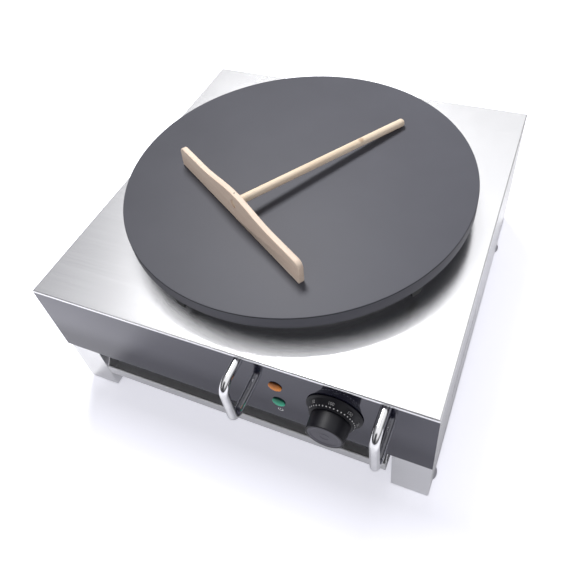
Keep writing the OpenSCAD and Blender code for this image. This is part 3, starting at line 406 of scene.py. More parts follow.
def brushed(name, along, tone, gloss, dip=0.0, front=1.0):
    """Satin stainless sheet, brushed along one axis, so that it mirrors softly across its lines.

    A dip is the slope that the sheet reaches at its front edge; front is how much colour its front face
    keeps under painted shade, which darkens it towards black.
    """
    hair_lean = 0.25
    dip_start = -20 * MM
    front_shade_start, front_shade_end = FRONT + 4.5 * MM, FRONT + 3.5 * MM
    f = Finish(name)
    y = f.parts(f.place)[1]
    hair = [f.add("ShaderNodeTexWhiteNoise", {"Vector": f.mapped((k, k, k))}) for k in (7000.0, 9100.0)]
    scatter = {0: drawn_out(1.0, along, 0.0), 3: (hair[0] + hair[1] - 1.0) * hair_lean}
    lean = f.add("ShaderNodeVectorMath", scatter, operation="SCALE")
    fall = f.add("ShaderNodeCombineXYZ", {1: y.spread(dip_start, FRONT) * -dip})
    flat = f.add("ShaderNodeNewGeometry", out=1)
    facing = f.vectors("NORMALIZE", f.vectors("ADD", flat, f.vectors("ADD", lean, fall)))
    lines = f.noise(drawn_out(1900.0, along, 9.0), 4.0, rough=0.7)
    bands = f.noise(drawn_out(300.0, along, 1.5), 2.0)
    clouds = f.noise(7.0, 2.0)
    dull = scaled((0.975, 0.975, 0.99), tone)
    bright = scaled((1.02, 1.02, 1.035), tone)
    colour = f.mottled(lines * 0.6 + bands * 0.4, dull, bright)
    # Painted shade: the front face is darkened towards black by 1 - front.
    colour = f.blend(y.spread(front_shade_start, front_shade_end) * (1.0 - front), colour, (0.0, 0.0, 0.0))
    return f.surface(
        Base_Color=colour,
        Metallic=0.93,
        Roughness=gloss + (lines - 0.5) * 0.05 + (bands - 0.5) * 0.04 + (clouds - 0.5) * 0.08,
        Normal=f.bump(lines + bands * 0.3, 0.04, 0.03 * MM, facing),
    )


def zinc_plate():
    """Zinc-plated steel with a faint yellow-blue cast and spangle."""
    blue, yellow = (0.50, 0.52, 0.56), (0.60, 0.58, 0.53)
    f = Finish("zinc plate")
    grain = f.add("ShaderNodeTexVoronoi", {"Vector": f.place, "Scale": 260.0})
    cast = f.noise(30.0)
    return f.surface(
        Base_Color=f.blend(cast.spread(0.35, 0.65), blue, yellow),
        Metallic=1.0,
        Roughness=0.34 + grain * 0.12,
        Normal=f.bump(grain, 0.08, 0.1 * MM),
    )


def panel_enamel():
    """Glossy black enamel, very slightly wavy."""
    dark, light = (0.010, 0.010, 0.020), (0.012, 0.012, 0.023)
    f = Finish("black enamel")
    wave = f.noise(16.0, 2.0)
    speck = f.noise(1200.0, 2.0)
    return f.surface(
        Base_Color=f.mottled(wave, dark, light),
        Roughness=0.05 + speck * 0.04,
        IOR=1.70,
        Specular_Tint=(0.85, 0.85, 1.0, 1.0),
        Normal=f.bump(wave + speck * 0.02, 0.05, 0.6 * MM),
    )


def rubber():
    """Pale, slightly clear rubber."""
    f = Finish("pale rubber")
    grain = f.noise(900.0, 4.0)
    return f.surface(
        Base_Color=f.mottled(grain, (0.56, 0.56, 0.61), (0.64, 0.64, 0.69)),
        Roughness=0.42 + grain * 0.2,
        Normal=f.bump(grain, 0.3, 0.2 * MM),
    )


def griddle_iron(tone, level):
    """Cast iron with a baked coat, with painted shade: darker to the left and on the rim's side, nearly
    black under the rim; a thin dark line runs just under its top edge.
    """
    shade_and_line_dark, underside_shade = (0.010, 0.010, 0.011), (0.002, 0.002, 0.002)
    f = Finish("coated cast iron")
    x, _, z = f.parts(f.place)
    grain = f.noise(1400.0, 5.0, rough=0.7)
    cloud = f.noise(14.0, 3.0)
    deep = level - z
    # Painted shade: darker to the left and on the rim's side; line is a thin dark band just under the top
    # edge.
    left_shade = x.spread(0.12, -0.16)
    side = deep.spread(0.2 * MM, 1.0 * MM)
    line = deep.spread(0.2 * MM, 0.4 * MM) - deep.spread(1.1 * MM, 1.3 * MM)
    # Painted shade: the underside and the lugs below the rim go nearly black.
    under = deep.spread(15.0 * MM, 17.0 * MM)
    patches = (grain * 0.5 + cloud * 0.5).spread(0.35, 0.65)
    colour = f.blend(patches, scaled(tone, 0.93), scaled(tone, 1.07))
    colour = f.blend(left_shade * 0.26 + side * 0.1 + line * 0.8, colour, shade_and_line_dark)
    return f.surface(
        Base_Color=f.blend(under, colour, underside_shade),
        Roughness=0.50 + (grain - 0.5) * 0.12 + (cloud - 0.5) * 0.06,
        IOR=1.30,
        Normal=f.bump(grain, 0.35, 0.12 * MM),
    )


def plastic(name, tone, gloss, grain_size=1500.0, depth=0.04 * MM, sheen=0.5):
    """Moulded plastic with a fine grain."""
    f = Finish(name)
    grain = f.noise(grain_size, 3.0)
    cloud = f.noise(60.0, 2.0)
    return f.surface(
        Base_Color=f.blend(cloud.spread(0.35, 0.65), scaled(tone, 0.9), scaled(tone, 1.1)),
        Roughness=gloss + (grain - 0.5) * 0.1,
        Specular_IOR_Level=sheen,
        Normal=f.bump(grain, 0.3, depth),
    )


def lens_plastic(name, tone, level):
    """Tinted plastic with fine prisms moulded inside it, with painted glints where the prisms lighten the
    tint and painted shade darkening its upper half.
    """
    prism_rate = 2600.0
    f = Finish(name)
    x, _, z = f.parts(f.place)
    prisms = ((x * prism_rate).sin() * (z * prism_rate).sin()).spread(-0.9, 0.9)
    # Painted shade: the upper half darkens to a deep tint.
    shade = (z - level).spread(-1.0 * MM, 7.0 * MM)
    # Painted glints: the prisms lighten the tint.
    light = f.blend(prisms * 0.35, tone, tuple(min(1.0, c * 1.5 + 0.06) for c in tone))
    return f.surface(
        Base_Color=f.blend(shade, light, scaled(tone, 0.16)),
        Roughness=0.22 + prisms * 0.05,
        Specular_IOR_Level=0.25,
        Normal=f.bump(prisms, 0.12, 0.3 * MM),
    )


def chrome():
    """Polished stainless bar with faint drawing lines."""
    f = Finish("polished bar")
    lines = f.noise((2200.0, 2200.0, 18.0), 3.0)
    smear = f.noise(70.0, 2.0)
    return f.surface(
        Base_Color=f.mottled(smear, (0.66, 0.66, 0.67), (0.73, 0.73, 0.74)),
        Metallic=1.0,
        Roughness=0.08 + lines * 0.07 + smear * 0.03,
    )


def wood(name, turn, pale, warm, knot=None):
    """Sanded beech, with its grain at an angle from X; a knot is its centre and its radius."""
    knot_brown = (0.36, 0.19, 0.09)
    f = Finish(name)
    level = (0.0, 0.0, -turn)
    fibre = f.noise((22.0, 620.0, 620.0), 4.0, level, 0.65)
    growth = f.noise((3.0, 90.0, 90.0), 3.0, level, 0.5, 0.6)
    flecks = f.noise((160.0, 1500.0, 1500.0), 2.0, level)
    streak = (fibre * 0.35 + growth * 0.65).spread(0.38, 0.64)
    colour = f.blend(streak, pale, warm)
    colour = f.blend(flecks.spread(0.60, 0.75) * 0.35, colour, scaled(warm, 0.62))
    if knot:
        middle, radius = knot
        spot = 1.0 - f.vectors("DISTANCE", f.place, middle, out=1).spread(radius * 0.35, radius)
        colour = f.blend(spot * 0.55, colour, knot_brown)
    return f.surface(
        Base_Color=colour,
        Roughness=0.50 + fibre * 0.14,
        Normal=f.bump(fibre + flecks * 0.4, 0.35, 0.1 * MM),
    )


def printed(name, low, high):
    """Pad-printed ink, between two greys."""
    f = Finish(name)
    grain = f.noise(4000.0, 2.0)
    return f.surface(Base_Color=f.mottled(grain, (low,) * 3, (high,) * 3), Roughness=0.5 + grain * 0.1)


def inner(name, low, high, scale, gloss, metal=0.0, depth=0.2 * MM):
    """A finish for a part inside the body, mottled between two colours."""
    f = Finish(name)
    grain = f.noise(scale, 4.0)
    return f.surface(
        Base_Color=f.mottled(grain, low, high),
        Metallic=metal,
        Roughness=gloss + grain * 0.15,
        Normal=f.bump(grain, 0.3, depth),
    )


# ---- settings


def plain_value(name, words, given, **limits):
    """A number without a unit."""
    return FloatProperty(name=name, description=words, default=given, **limits)


def length_value(name, words, given):
    """A length, in metres."""
    return FloatProperty(name=name, description=words, default=given, unit="LENGTH")


def angle_value(name, words, degrees):
    """An angle, given in degrees."""
    return FloatProperty(name=name, description=words, default=radians(degrees), subtype="ANGLE")


def colour_value(name, words, given):
    """A linear colour."""
    return FloatVectorProperty(name=name, description=words, default=given, subtype="COLOR", size=3)


class CrepeBodySettings(PropertyGroup):
    steel_tone: plain_value("Steel tone", "Brightness of the bare steel", 0.83, min=0.2, max=1.0)
    steel_gloss: plain_value("Steel roughness", "Mean roughness of the brushing", 0.20, min=0.05, max=0.8)


class CrepeGriddleSettings(PropertyGroup):
    radius: length_value("Radius", "Radius of the griddle", (PLATE[1].x - PLATE[0].x) / 2)
    thickness: length_value("Thickness", "Thickness at the rim", 15.5 * MM)
    edge: length_value("Edge", "Rounding of the rim's edges", 0.9 * MM)
    lugs: IntProperty(name="Lugs", description="Number of cast lugs under the rim", default=5)
    colour: colour_value("Colour", "Colour of the baked coat", (0.100, 0.101, 0.120))


class CrepeDialSettings(PropertyGroup):
    step: angle_value("Step", "Angle between two dots", 9.12)
    dots: IntProperty(name="Dots", description="Number of dots on the dial", default=28)
    dot_radius: length_value("Dot radius", "Radius of a printed dot", 0.60 * MM)
    figure_height: length_value("Figures", "Height of the printed figures", 3.1 * MM)


class CrepeLampSettings(PropertyGroup):
    heating: colour_value("Heating lamp", "Colour of the upper lens", (0.95, 0.27, 0.02))
    power: colour_value("Power lamp", "Colour of the lower lens", (0.02, 0.50, 0.29))


class CrepeHandleSettings(PropertyGroup):
    bar: length_value("Bar radius", "Radius of the guard handles' bar", 5 * MM)
    bend: length_value("Bend", "Bend radius on the bar's centre line", 12 * MM)


class CrepeSpreaderSettings(PropertyGroup):
    turn: angle_value("Turn", "Direction of the blade", -31.7)
    edge: length_value("Edge", "Rounding of the wood's edges", 0.9 * MM)


class CrepeStageSettings(PropertyGroup):
    key: plain_value("Soft box", "Power of the soft box, in watts", 42.0)
    walls: plain_value("Walls", "Light that the studio's walls give", 0.70)


# ---- operators


class CREPE_OT_body(Operator):
    """Finish the steel shells, the sheet metal inside them and the feet"""

    bl_idname = "crepe.body"
    bl_label = "Body"

    def execute(self, context):
        s = context.scene.crepe_body
        steel = (s.steel_tone, s.steel_gloss)
        paint(brushed("brushed lid", ALONG_X, *steel, dip=0.14), "top_cover")
        paint(brushed("brushed sides", ALONG_Y, *steel), "side_panel_left", "side_panel_right")
        paint(brushed("brushed rear", ALONG_X, *steel), "rear_cover")
        paint(
            zinc_plate(), "lid_stiffeners", "cover_nuts", "panel_nuts", "base_plate", "base_nuts",
            "rail_left", "rail_right", "rail_screws", "handle_bolts", "rear_screws",
        )
        paint(rubber(), "foot_front_left", "foot_front_right", "foot_rear_left", "foot_rear_right")
        return {"FINISHED"}


class CREPE_OT_panel(Operator):
    """Finish the enamelled front panel and print its marks"""

    bl_idname = "crepe.panel"
    bl_label = "Front panel"

    def execute(self, context):
        below_lamp, ring_radius = 16.5 * MM, 2.6 * MM
        paint(panel_enamel(), "front_panel")
        lamp = centre("green_lens")
        work = bmesh.new()
        self.power_sign(work, Vector((lamp.x, FRONT - INK, lamp.z - below_lamp)), ring_radius)
        piece(sealed(work), "panel_print", "body", "black_enamel", printed("white print", 0.84, 0.92))
        return {"FINISHED"}

    def power_sign(self, work, at, r):
        """An open ring with a stroke in its gap."""
        wide, stroke_foot = 0.36 * MM, 0.1 * MM
        first, sweep, steps = 125, 290, 28
        section = [(r - wide, INK), (r + wide, INK), (r + wide, 0), (r - wide, 0)]
        rings = []
        for i in range(steps + 1):
            a = radians(first + sweep * i / steps)
            ray = Vector((cos(a), 0, sin(a)))
            rings.append([work.verts.new(at + ray * d + Vector((0, h, 0))) for d, h in section])
        tube(work, rings)
        self.stroke(work, at, wide, stroke_foot, r + wide)

    def stroke(self, work, at, wide, low, high):
        """An upright stroke, between two heights over a point."""
        middle = at + Vector((0, INK / 2, (low + high) / 2))
        size = Vector((2 * wide, INK, high - low))
        for v in bmesh.ops.create_cube(work, size=1.0)["verts"]:
            v.co = middle + v.co * size


class CREPE_OT_griddle(Operator):
    """Turn the griddle by rule, with the lugs and bosses cast under it"""

    bl_idname = "crepe.griddle"
    bl_label = "Griddle"

    def execute(self, context):
        s = context.scene.crepe_griddle
        at = centre("hotplate")
        foot, top = PLATE[0].z, PLATE[1].z
        rim = top - s.thickness
        recess = rim + 2 * MM
        sizes = {"Radius": s.radius, "Segments": 256, "Rim height": rim}
        lugs = {"Lugs": s.lugs, "First lug": radians(-32.2), "Lug depth": rim - foot}
        rule = Shaper("griddle rule", {**sizes, **lugs, "Lug width": 14 * MM, "Lug wall": 9 * MM})
        whole = rule.join(self.plate(rule), self.lugs(rule))
        mesh = rule.build(whole, self.section(s, rim, recess, top))
        mesh.transform(Matrix.Translation((at.x, at.y, 0)))
        work = closed(mesh)
        self.add_bosses(work, at, recess)
        iron = griddle_iron(tuple(s.colour), top)
        piece(work, "griddle_plate", "body", "cast_iron", iron, ["hotplate"], 40.0)
        return {"FINISHED"}

    def section(self, s, rim, recess, top):
        """Half of the plate's section as a chain of edges, measured from the rim's lower corner."""
        r, slope_top, slope_foot = s.radius, 15 * MM, 13 * MM
        corners = [(0, recess), (r - slope_top, recess), (r - slope_foot, rim), (r, rim), (r, top), (0, top)]
        profile = rounded(corners, [1 * MM, 1 * MM, s.edge, s.edge], 5)
        points = [Vector((p.x - r, rim - p.y, 0)) for p in profile]
        base = bpy.data.meshes.new("griddle_profile")
        base.from_pydata(points, [(i, i + 1) for i in range(len(points) - 1)], [])
        return base

    def plate(self, rule):
        """The section, carried round the rim."""
        g = rule.given
        circle = {"Resolution": g["Segments"], "Radius": g["Radius"]}
        path = rule.add("GeometryNodeCurvePrimitiveCircle", circle)
        rise = rule.vector(0.0, 0.0, g["Rim height"])
        lifted = rule.add("GeometryNodeTransform", {"Geometry": path, "Translation": rise})
        outline = rule.add("GeometryNodeMeshToCurve", {0: g["Geometry"]})
        turned = rule.add("GeometryNodeCurveToMesh", {"Curve": lifted, "Profile Curve": outline})
        return rule.add("GeometryNodeMergeByDistance", {"Geometry": turned, "Distance": 1e-6})

    def lugs(self, rule):
        """Blocks under the rim, narrower at their feet and slightly bowed."""
        inset, foot_share, bow = 0.7 * MM, 0.7, 0.02
        cuts = {"Vertices X": 4, "Vertices Y": 6, "Vertices Z": 5}
        g = rule.given
        step = -2.0 * pi / g["Lugs"]
        reach = g["Radius"] - g["Lug wall"] * 0.5 - inset
        height = g["Rim height"] - g["Lug depth"] * 0.5
        points, angle = rule.ring(g["Lugs"], reach, g["First lug"], step, height)
        size = rule.vector(g["Lug wall"], g["Lug width"], g["Lug depth"])
        block = rule.add("GeometryNodeMeshCube", {"Size": size, **cuts})
        x, y, z = rule.parts(rule.add("GeometryNodeInputPosition"))
        narrow = z / g["Lug depth"] * (1 - foot_share) + (1 + foot_share) / 2
        aside = y / g["Lug width"]
        moved = rule.vector(x * (1.0 - aside * aside * bow), y * narrow, z)
        shaped = rule.add("GeometryNodeSetPosition", {"Geometry": block, "Position": moved})
        return rule.stand_on(points, shaped, angle)

    def add_bosses(self, work, at, recess):
        """Adds the bosses that take the studs and the clamp's screws.

        Each has its distance from the middle, its direction in degrees, its radius and its height.
        """
        studs = [(132.5, 45 + 90 * i, 9.0, 6.5) for i in range(4)]
        screws = [(97.5, -90 + 120 * i, 6.5, 7.5) for i in range(3)]
        for reach, turn, r, h in studs + screws:
            a, d = radians(turn), reach * MM
            spot = Vector((at.x + d * cos(a), at.y + d * sin(a), recess - h * MM / 2))
            bmesh.ops.create_cone(
                work, cap_ends=True, segments=40, radius1=r * MM, radius2=r * MM, depth=h * MM,
                matrix=Matrix.Translation(spot),
            )


class CREPE_OT_heater(Operator):
    """Finish the heating element and what holds it under the griddle"""

    bl_idname = "crepe.heater"
    bl_label = "Heater"

    def execute(self, context):
        darkened = inner("heat-darkened tube", (0.10, 0.085, 0.075), (0.22, 0.17, 0.15), 90.0, 0.38, 1.0)
        fibre = inner("pressed fibre", (0.50, 0.47, 0.40), (0.68, 0.65, 0.57), 500.0, 0.8, 0.0, 0.6 * MM)
        sheet = inner("aluminized sheet", (0.36,) * 3, (0.50,) * 3, 220.0, 0.42, 1.0)
        copper = inner("drawn copper", (0.52, 0.24, 0.15), (0.66, 0.34, 0.22), 150.0, 0.28, 1.0)
        paint(darkened, "heating_element")
        paint(fibre, "insulation_disc")
        paint(sheet, "heat_shield")
        paint(copper, "capillary_tube")
        paint(
            bpy.data.materials["zinc plate"], "element_terminals", "element_clamp", "clamp_screws",
            "plate_spacers", "plate_studs", "plate_nuts", "bulb_clip", "clip_screws",
        )
        return {"FINISHED"}


class CREPE_OT_dial(Operator):
    """Turn the knob and its dial, and print the scale"""

    bl_idname = "crepe.dial"
    bl_label = "Dial"

    def execute(self, context):
        s = context.scene.crepe_dial
        axis = centre("knob")
        self.at = Vector((axis.x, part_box("dial_skirt")[1].y, axis.z))
        black = plastic("knob black", (0.004, 0.004, 0.007), 0.44, sheen=0.3)
        grey = plastic("cap grey", (0.080, 0.078, 0.098), 0.40, sheen=0.3)
        skirt = [
            (27.7, 0), (29.5, 0), (29.5, 0.6), CONE_FOOT, CONE_TOP, (8.02, 10.2), (8.02, 8.4), (20.6, 8.4),
            (25.7, 2.0), (27.7, 0),
        ]
        skirt_cuts = [0.3, 0.3, 0.4, 0.5, 0, 0, 0.4, 0.4]
        self.turn("dial_ring", skirt, skirt_cuts, black, "black_plastic", "dial_skirt")
        grip = [
            (3.02, 2.3), (8.0, 2.3), (8.0, 10.2), (20.5, 10.2), (20.5, 12.2), (19.3, 27.1), (18.9, 27.7),
            (17.55, 27.7), (17.5, 26.3), (0, 26.3), (0, 22.7), (3.02, 22.7), (3.02, 2.3),
        ]
        grip_cuts = [0, 0, 0.3, 0.4, 0.3, 0.3, 0.2, 0, 0, 0, 0]
        self.turn("knob_grip", grip, grip_cuts, black, "black_plastic", "knob")
        cap = [
            (0, 26.3), (17.48, 26.3), (17.48, 27.5), (17.1, 27.7), (15.3, 27.7), (13.8, 27.0), (5.6, 27.0),
            (5.0, 27.35), (4.4, 27.0), (0, 27.0),
        ]
        cap_cuts = [0, 0.1, 0.2, 0.4, 0.4, 0.2, 0.2, 0.2]
        self.turn("knob_disc", cap, cap_cuts, grey, "grey_plastic", "knob_cap")
        self.dots(s, printed("dial dots", 0.90, 0.96))
        self.figures(s, printed("dial figures", 0.56, 0.64))
        paint(bpy.data.materials["zinc plate"], "thermostat_shaft")
        return {"FINISHED"}

    def turn(self, name, corners, cuts, material, slot, node):
        """A turned piece of the dial, from corners and roundings in millimetres."""
        profile = rounded(millimetres(corners), [c * MM for c in cuts])
        piece(spun(profile, self.at, 120), name, "knob", slot, material, [node], 38.0)

    def on_cone(self, angle, reach, lift=0.0):
        """A point on the dial's cone, this far down its slope from the top edge."""
        low, high = millimetres((CONE_FOOT, CONE_TOP))
        along = (low - high).normalized()
        spot = high + along * reach + Vector((abs(along.y), abs(along.x))) * lift
        return self.at + Vector((spot.x * cos(angle), -spot.y, spot.x * sin(angle)))

    def dots(self, s, ink):
        """Printed dots round the cone, at equal steps; the third is above the first figure."""
        spot = self.on_cone(0.0, 2.6 * MM, 0.02 * MM) - self.at
        arc = {"Radius": spot.x, "Start": FIRST_FIGURE + 2 * s.step, "Step": -s.step}
        rule = Shaper("dial dots", {"Count": s.dots, **arc, "Dot radius": s.dot_radius})
        g = rule.given
        points, angle = rule.ring(g["Count"], g["Radius"], g["Start"], g["Step"])
        tilt = atan2(CONE_TOP[1] - CONE_FOOT[1], CONE_FOOT[0] - CONE_TOP[0])
        round_dot = {"Vertices": 14, "Radius": g["Dot radius"], "Depth": INK}
        disc = rule.add("GeometryNodeMeshCylinder", round_dot)
        laid = rule.add("GeometryNodeTransform", {"Geometry": disc, "Rotation": (0.0, tilt, 0.0)})
        mesh = rule.build(rule.stand_on(points, laid, angle))
        to_panel = Matrix.Rotation(radians(90), 4, "X")
        mesh.transform(Matrix.Translation(self.at + Vector((0, spot.y, 0))) @ to_panel)
        piece(closed(mesh), "dial_dots", "knob", "black_plastic", ink)

    def figures(self, s, ink):
        """Printed figures on the cone's lower half, read from outside, one at every fifth dot."""
        steps, first_degrees, lift = 6, 50, 0.05 * MM
        print_radius, print_reach = 25.9 * MM, 6.4 * MM
        foot = print_reach - s.figure_height / 2
        work = bmesh.new()
        for i in range(steps):
            angle = FIRST_FIGURE - 5 * s.step * i
            points, loops = self.glyphs(str(first_degrees * (i + 1)), s.figure_height)
            spots = [self.on_cone(angle - u / print_radius, foot + v, lift) for u, v in points]
            verts = [work.verts.new(spot) for spot in spots]
            for loop in loops:
                work.faces.new([verts[k] for k in loop])
        piece(work, "dial_figures", "knob", "black_plastic", ink)

    def glyphs(self, words, height):
        """The faces of a line of figures, centred, as points across and up with their loops."""
        size_to_height, swelling = 1.42, -0.05 * MM
        curve = bpy.data.curves.new(words, "FONT")
        curve.body = words
        curve.size = height * size_to_height
        curve.align_x = "CENTER"
        curve.resolution_u = 4
        curve.offset = swelling
        mesh = shown_by(linked(words, curve))
        return [(v.co.x, v.co.y) for v in mesh.vertices], [tuple(p.vertices) for p in mesh.polygons]


class CREPE_OT_lamps(Operator):
    """Turn the two pilot lamps' lenses and finish their holders"""

    bl_idname = "crepe.lamps"
    bl_label = "Lamps"

    def execute(self, context):
        s = context.scene.crepe_lamps
        profile = self.lens_profile()
        for node, tone in (("orange_lens", s.heating), ("green_lens", s.power)):
            at = centre(node)
            tint = lens_plastic(node.replace("_", " "), tuple(tone), at.z)
            lens = spun(profile, Vector((at.x, FRONT, at.z)), 64)
            piece(lens, node + "_dome", "body", node, tint, [node])
        nylon = plastic("nylon", (0.020, 0.020, 0.021), 0.45, 700.0, 0.1 * MM)
        paint(nylon, "orange_lamp_holder", "green_lamp_holder", "cable_gland", "gland_nut")
        return {"FINISHED"}

    def lens_profile(self):
        """A stem, a flange and a shallow dome, as radius and height from the panel."""
        ball, sunk = 15.68, 12.72
        corners = [(0, -10.0), (4.9, -10.0), (4.9, 0), (7.2, 0), (7.2, 1.1), (6.9, 1.35)]
        profile = rounded(millimetres(corners), [0.2 * MM, 0, 0.15 * MM, 0.2 * MM], 3)
        slopes = [radians(degrees) for degrees in range(25, -1, -5)]
        return profile + millimetres((ball * sin(a), ball * cos(a) - sunk) for a in slopes)


class CREPE_OT_handles(Operator):
    """Bend the two guard handles"""

    bl_idname = "crepe.handles"
    bl_label = "Guard handles"

    def execute(self, context):
        s = context.scene.crepe_handles
        bright = chrome()
        for side in ("left", "right"):
            node = side + "_handle"
            low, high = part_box(node)
            out, z0, z1 = low.y + s.bar, low.z + s.bar, high.z - s.bar
            path = rounded([(high.y, z0), (out, z0), (out, z1), (high.y, z1)], [s.bend, s.bend], 14)
            bar = self.bent_bar((low.x + high.x) / 2, path, s.bar)
            piece(bar, side + "_guard_bar", "body", "chrome", bright, [node], 50.0)
        return {"FINISHED"}

    def bent_bar(self, x, path, r, sides=40):
        """A round bar along a path of Y and Z at one X."""
        work = bmesh.new()
        rings = []
        for before, p, after in zip(path[:1] + path, path, path[1:] + path[-1:]):
            along = (after - before).normalized()
            out = Vector((along.y, -along.x))
            ring = []
            for j in range(sides):
                a = 2 * pi * j / sides
                shift = out * r * cos(a)
                ring.append(work.verts.new((x + r * sin(a), p.x + shift.x, p.y + shift.y)))
            rings.append(ring)
        tube(work, rings)
        return sealed(work)


class CREPE_OT_thermostat(Operator):
    """Finish the thermostat, the terminal block and their screws"""

    bl_idname = "crepe.thermostat"
    bl_label = "Thermostat and wiring parts"

    def execute(self, context):
        cream = plastic("moulded cream", (0.60, 0.56, 0.45), 0.5, 500.0, 0.1 * MM)
        paint(cream, "thermostat_body", "terminal_block")
        paint(bpy.data.materials["zinc plate"], "thermostat_screws")
        return {"FINISHED"}


class CREPE_OT_tray(Operator):
    """Finish the crumb tray"""

    bl_idname = "crepe.tray"
    bl_label = "Crumb tray"

    def execute(self, context):
        s = context.scene.crepe_body
        # Painted shade: the tray's steel is a tenth darker than the body's, and its front face is painted
        # darker still.
        tone, gloss = s.steel_tone * 0.9, s.steel_gloss * 2.2
        paint(brushed("brushed tray", ALONG_X, tone, gloss, front=0.88), "tray")
        return {"FINISHED"}


class CREPE_OT_spreader(Operator):
    """Shape the wooden spreader's blade and stick with eased edges"""

    bl_idname = "crepe.spreader"
    bl_label = "Spreader"

    def execute(self, context):
        s = context.scene.crepe_spreader
        self.stand = self.frame(s.turn)
        stick_turn = s.turn + radians(90)
        knot = (self.stand @ Vector((1.5 * MM, 172 * MM, 24.3 * MM)), 4.5 * MM)
        blade = wood("beech blade", s.turn, (0.90, 0.745, 0.61), (0.80, 0.615, 0.485))
        stick = wood("beech stick", stick_turn, (0.97, 0.84, 0.67), (0.87, 0.69, 0.51), knot)
        piece(self.blade(s.edge), "spreader_board", "spreader", "beech", blade, ["spreader_blade"], 50.0)
        piece(self.stick(), "spreader_rod", "spreader", "beech", stick, ["spreader_stick"], 50.0)
        paint(inner("pin end", (0.04, 0.028, 0.02), (0.09, 0.065, 0.045), 900.0, 0.6), "spreader_pin")
        return {"FINISHED"}

    def frame(self, turn):
        """The blade's own frame: X along it, Y towards the stick's tip, Z up its face."""
        lean = atan((BORE_HEIGHT - DOWEL_RADIUS) / DOWEL_LENGTH)
        placed = Matrix.Translation(Vector((-33.9, -84.9, 225.1)) * MM) @ Matrix.Rotation(turn, 4, "Z")
        edge = Matrix.Translation((0, BLADE_THICKNESS, 0))
        return placed @ edge @ Matrix.Rotation(-lean, 4, "X") @ edge.inverted()

    def crest(self, s):
        """Height of the blade's upper edge at a distance from its middle."""
        if abs(s) > CREST_REACH:
            return SHOULDER_HEIGHT
        return SHOULDER_HEIGHT + 3.5 * MM * (1 + cos(pi * s / CREST_REACH))

    def blade(self, edge):
        """The board: two faces round the bore, the walls between them, and its edges eased."""
        corner, crest_steps, bore_steps, bore_radius = 8 * MM, 24, 24, DOWEL_RADIUS + 0.1 * MM
        under, end = SHOULDER_HEIGHT - corner, BLADE_HALF - corner
        along = [CREST_REACH * (1 - i / crest_steps) for i in range(2 * crest_steps + 1)]
        outline = [(BLADE_HALF, 0.0), *quarter((end, under), corner, 0)]
        outline += [(s, self.crest(s)) for s in along]
        outline += [*quarter((-end, under), corner, 90), (-BLADE_HALF, 0.0), (0.0, 0.0)]
        middle = outline.index((0.0, self.crest(0)))
        turns = [radians(90 - 360 * i / bore_steps) for i in range(bore_steps)]
        bore = [(bore_radius * cos(a), BORE_HEIGHT + bore_radius * sin(a)) for a in turns]
        half = bore_steps // 2
        work = bmesh.new()
        sides = []
        for y in (0, BLADE_THICKNESS):
            rim = [work.verts.new((s, y, h)) for s, h in outline]
            hole = [work.verts.new((s, y, h)) for s, h in bore]
            work.faces.new(rim[: middle + 1] + hole[: half + 1] + rim[-1:])
            work.faces.new(rim[middle:] + hole[half:] + hole[:1])
            sides.append((rim, hole))
        for near, far in zip(*sides):
            for i in range(len(near)):
                j = (i + 1) % len(near)
                work.faces.new((near[i], near[j], far[j], far[i]))
        sealed(work)
        eased = {work.edges.get(pair) for rim, _ in sides for pair in zip(rim, rim[1:-1])}
        # Also the lower edges that start at an end: each end's own, and the left half's.
        for e in work.edges:
            if abs(abs(e.verts[0].co.x) - BLADE_HALF) < 1e-7 and max(v.co.z for v in e.verts) < 1e-6:
                eased.add(e)
        look = {"segments": 4, "profile": 0.5, "affect": "EDGES", "clamp_overlap": True}
        bmesh.ops.bevel(work, geom=list(eased), offset=edge, **look)
        bmesh.ops.transform(work, matrix=self.stand, verts=work.verts)
        return work

    def stick(self):
        """A dowel with a domed tip, set a little back from the blade's front face."""
        r, set_back, chamfer_end, rings = DOWEL_RADIUS, 1.1 * MM, 1.5 * MM, 12
        profile = [(0, set_back), (r * 0.92, set_back), (r, chamfer_end)]
        profile += [(r, DOWEL_LENGTH * i / rings) for i in range(1, rings)]
        for degrees in range(0, 91, 10):
            a = radians(degrees)
            profile.append((r * cos(a), DOWEL_LENGTH - r + r * sin(a) * 0.98))
        work = spun([(q, -y) for q, y in profile], (0, 0, BORE_HEIGHT), 40)
        bmesh.ops.transform(work, matrix=self.stand, verts=work.verts)
        return work


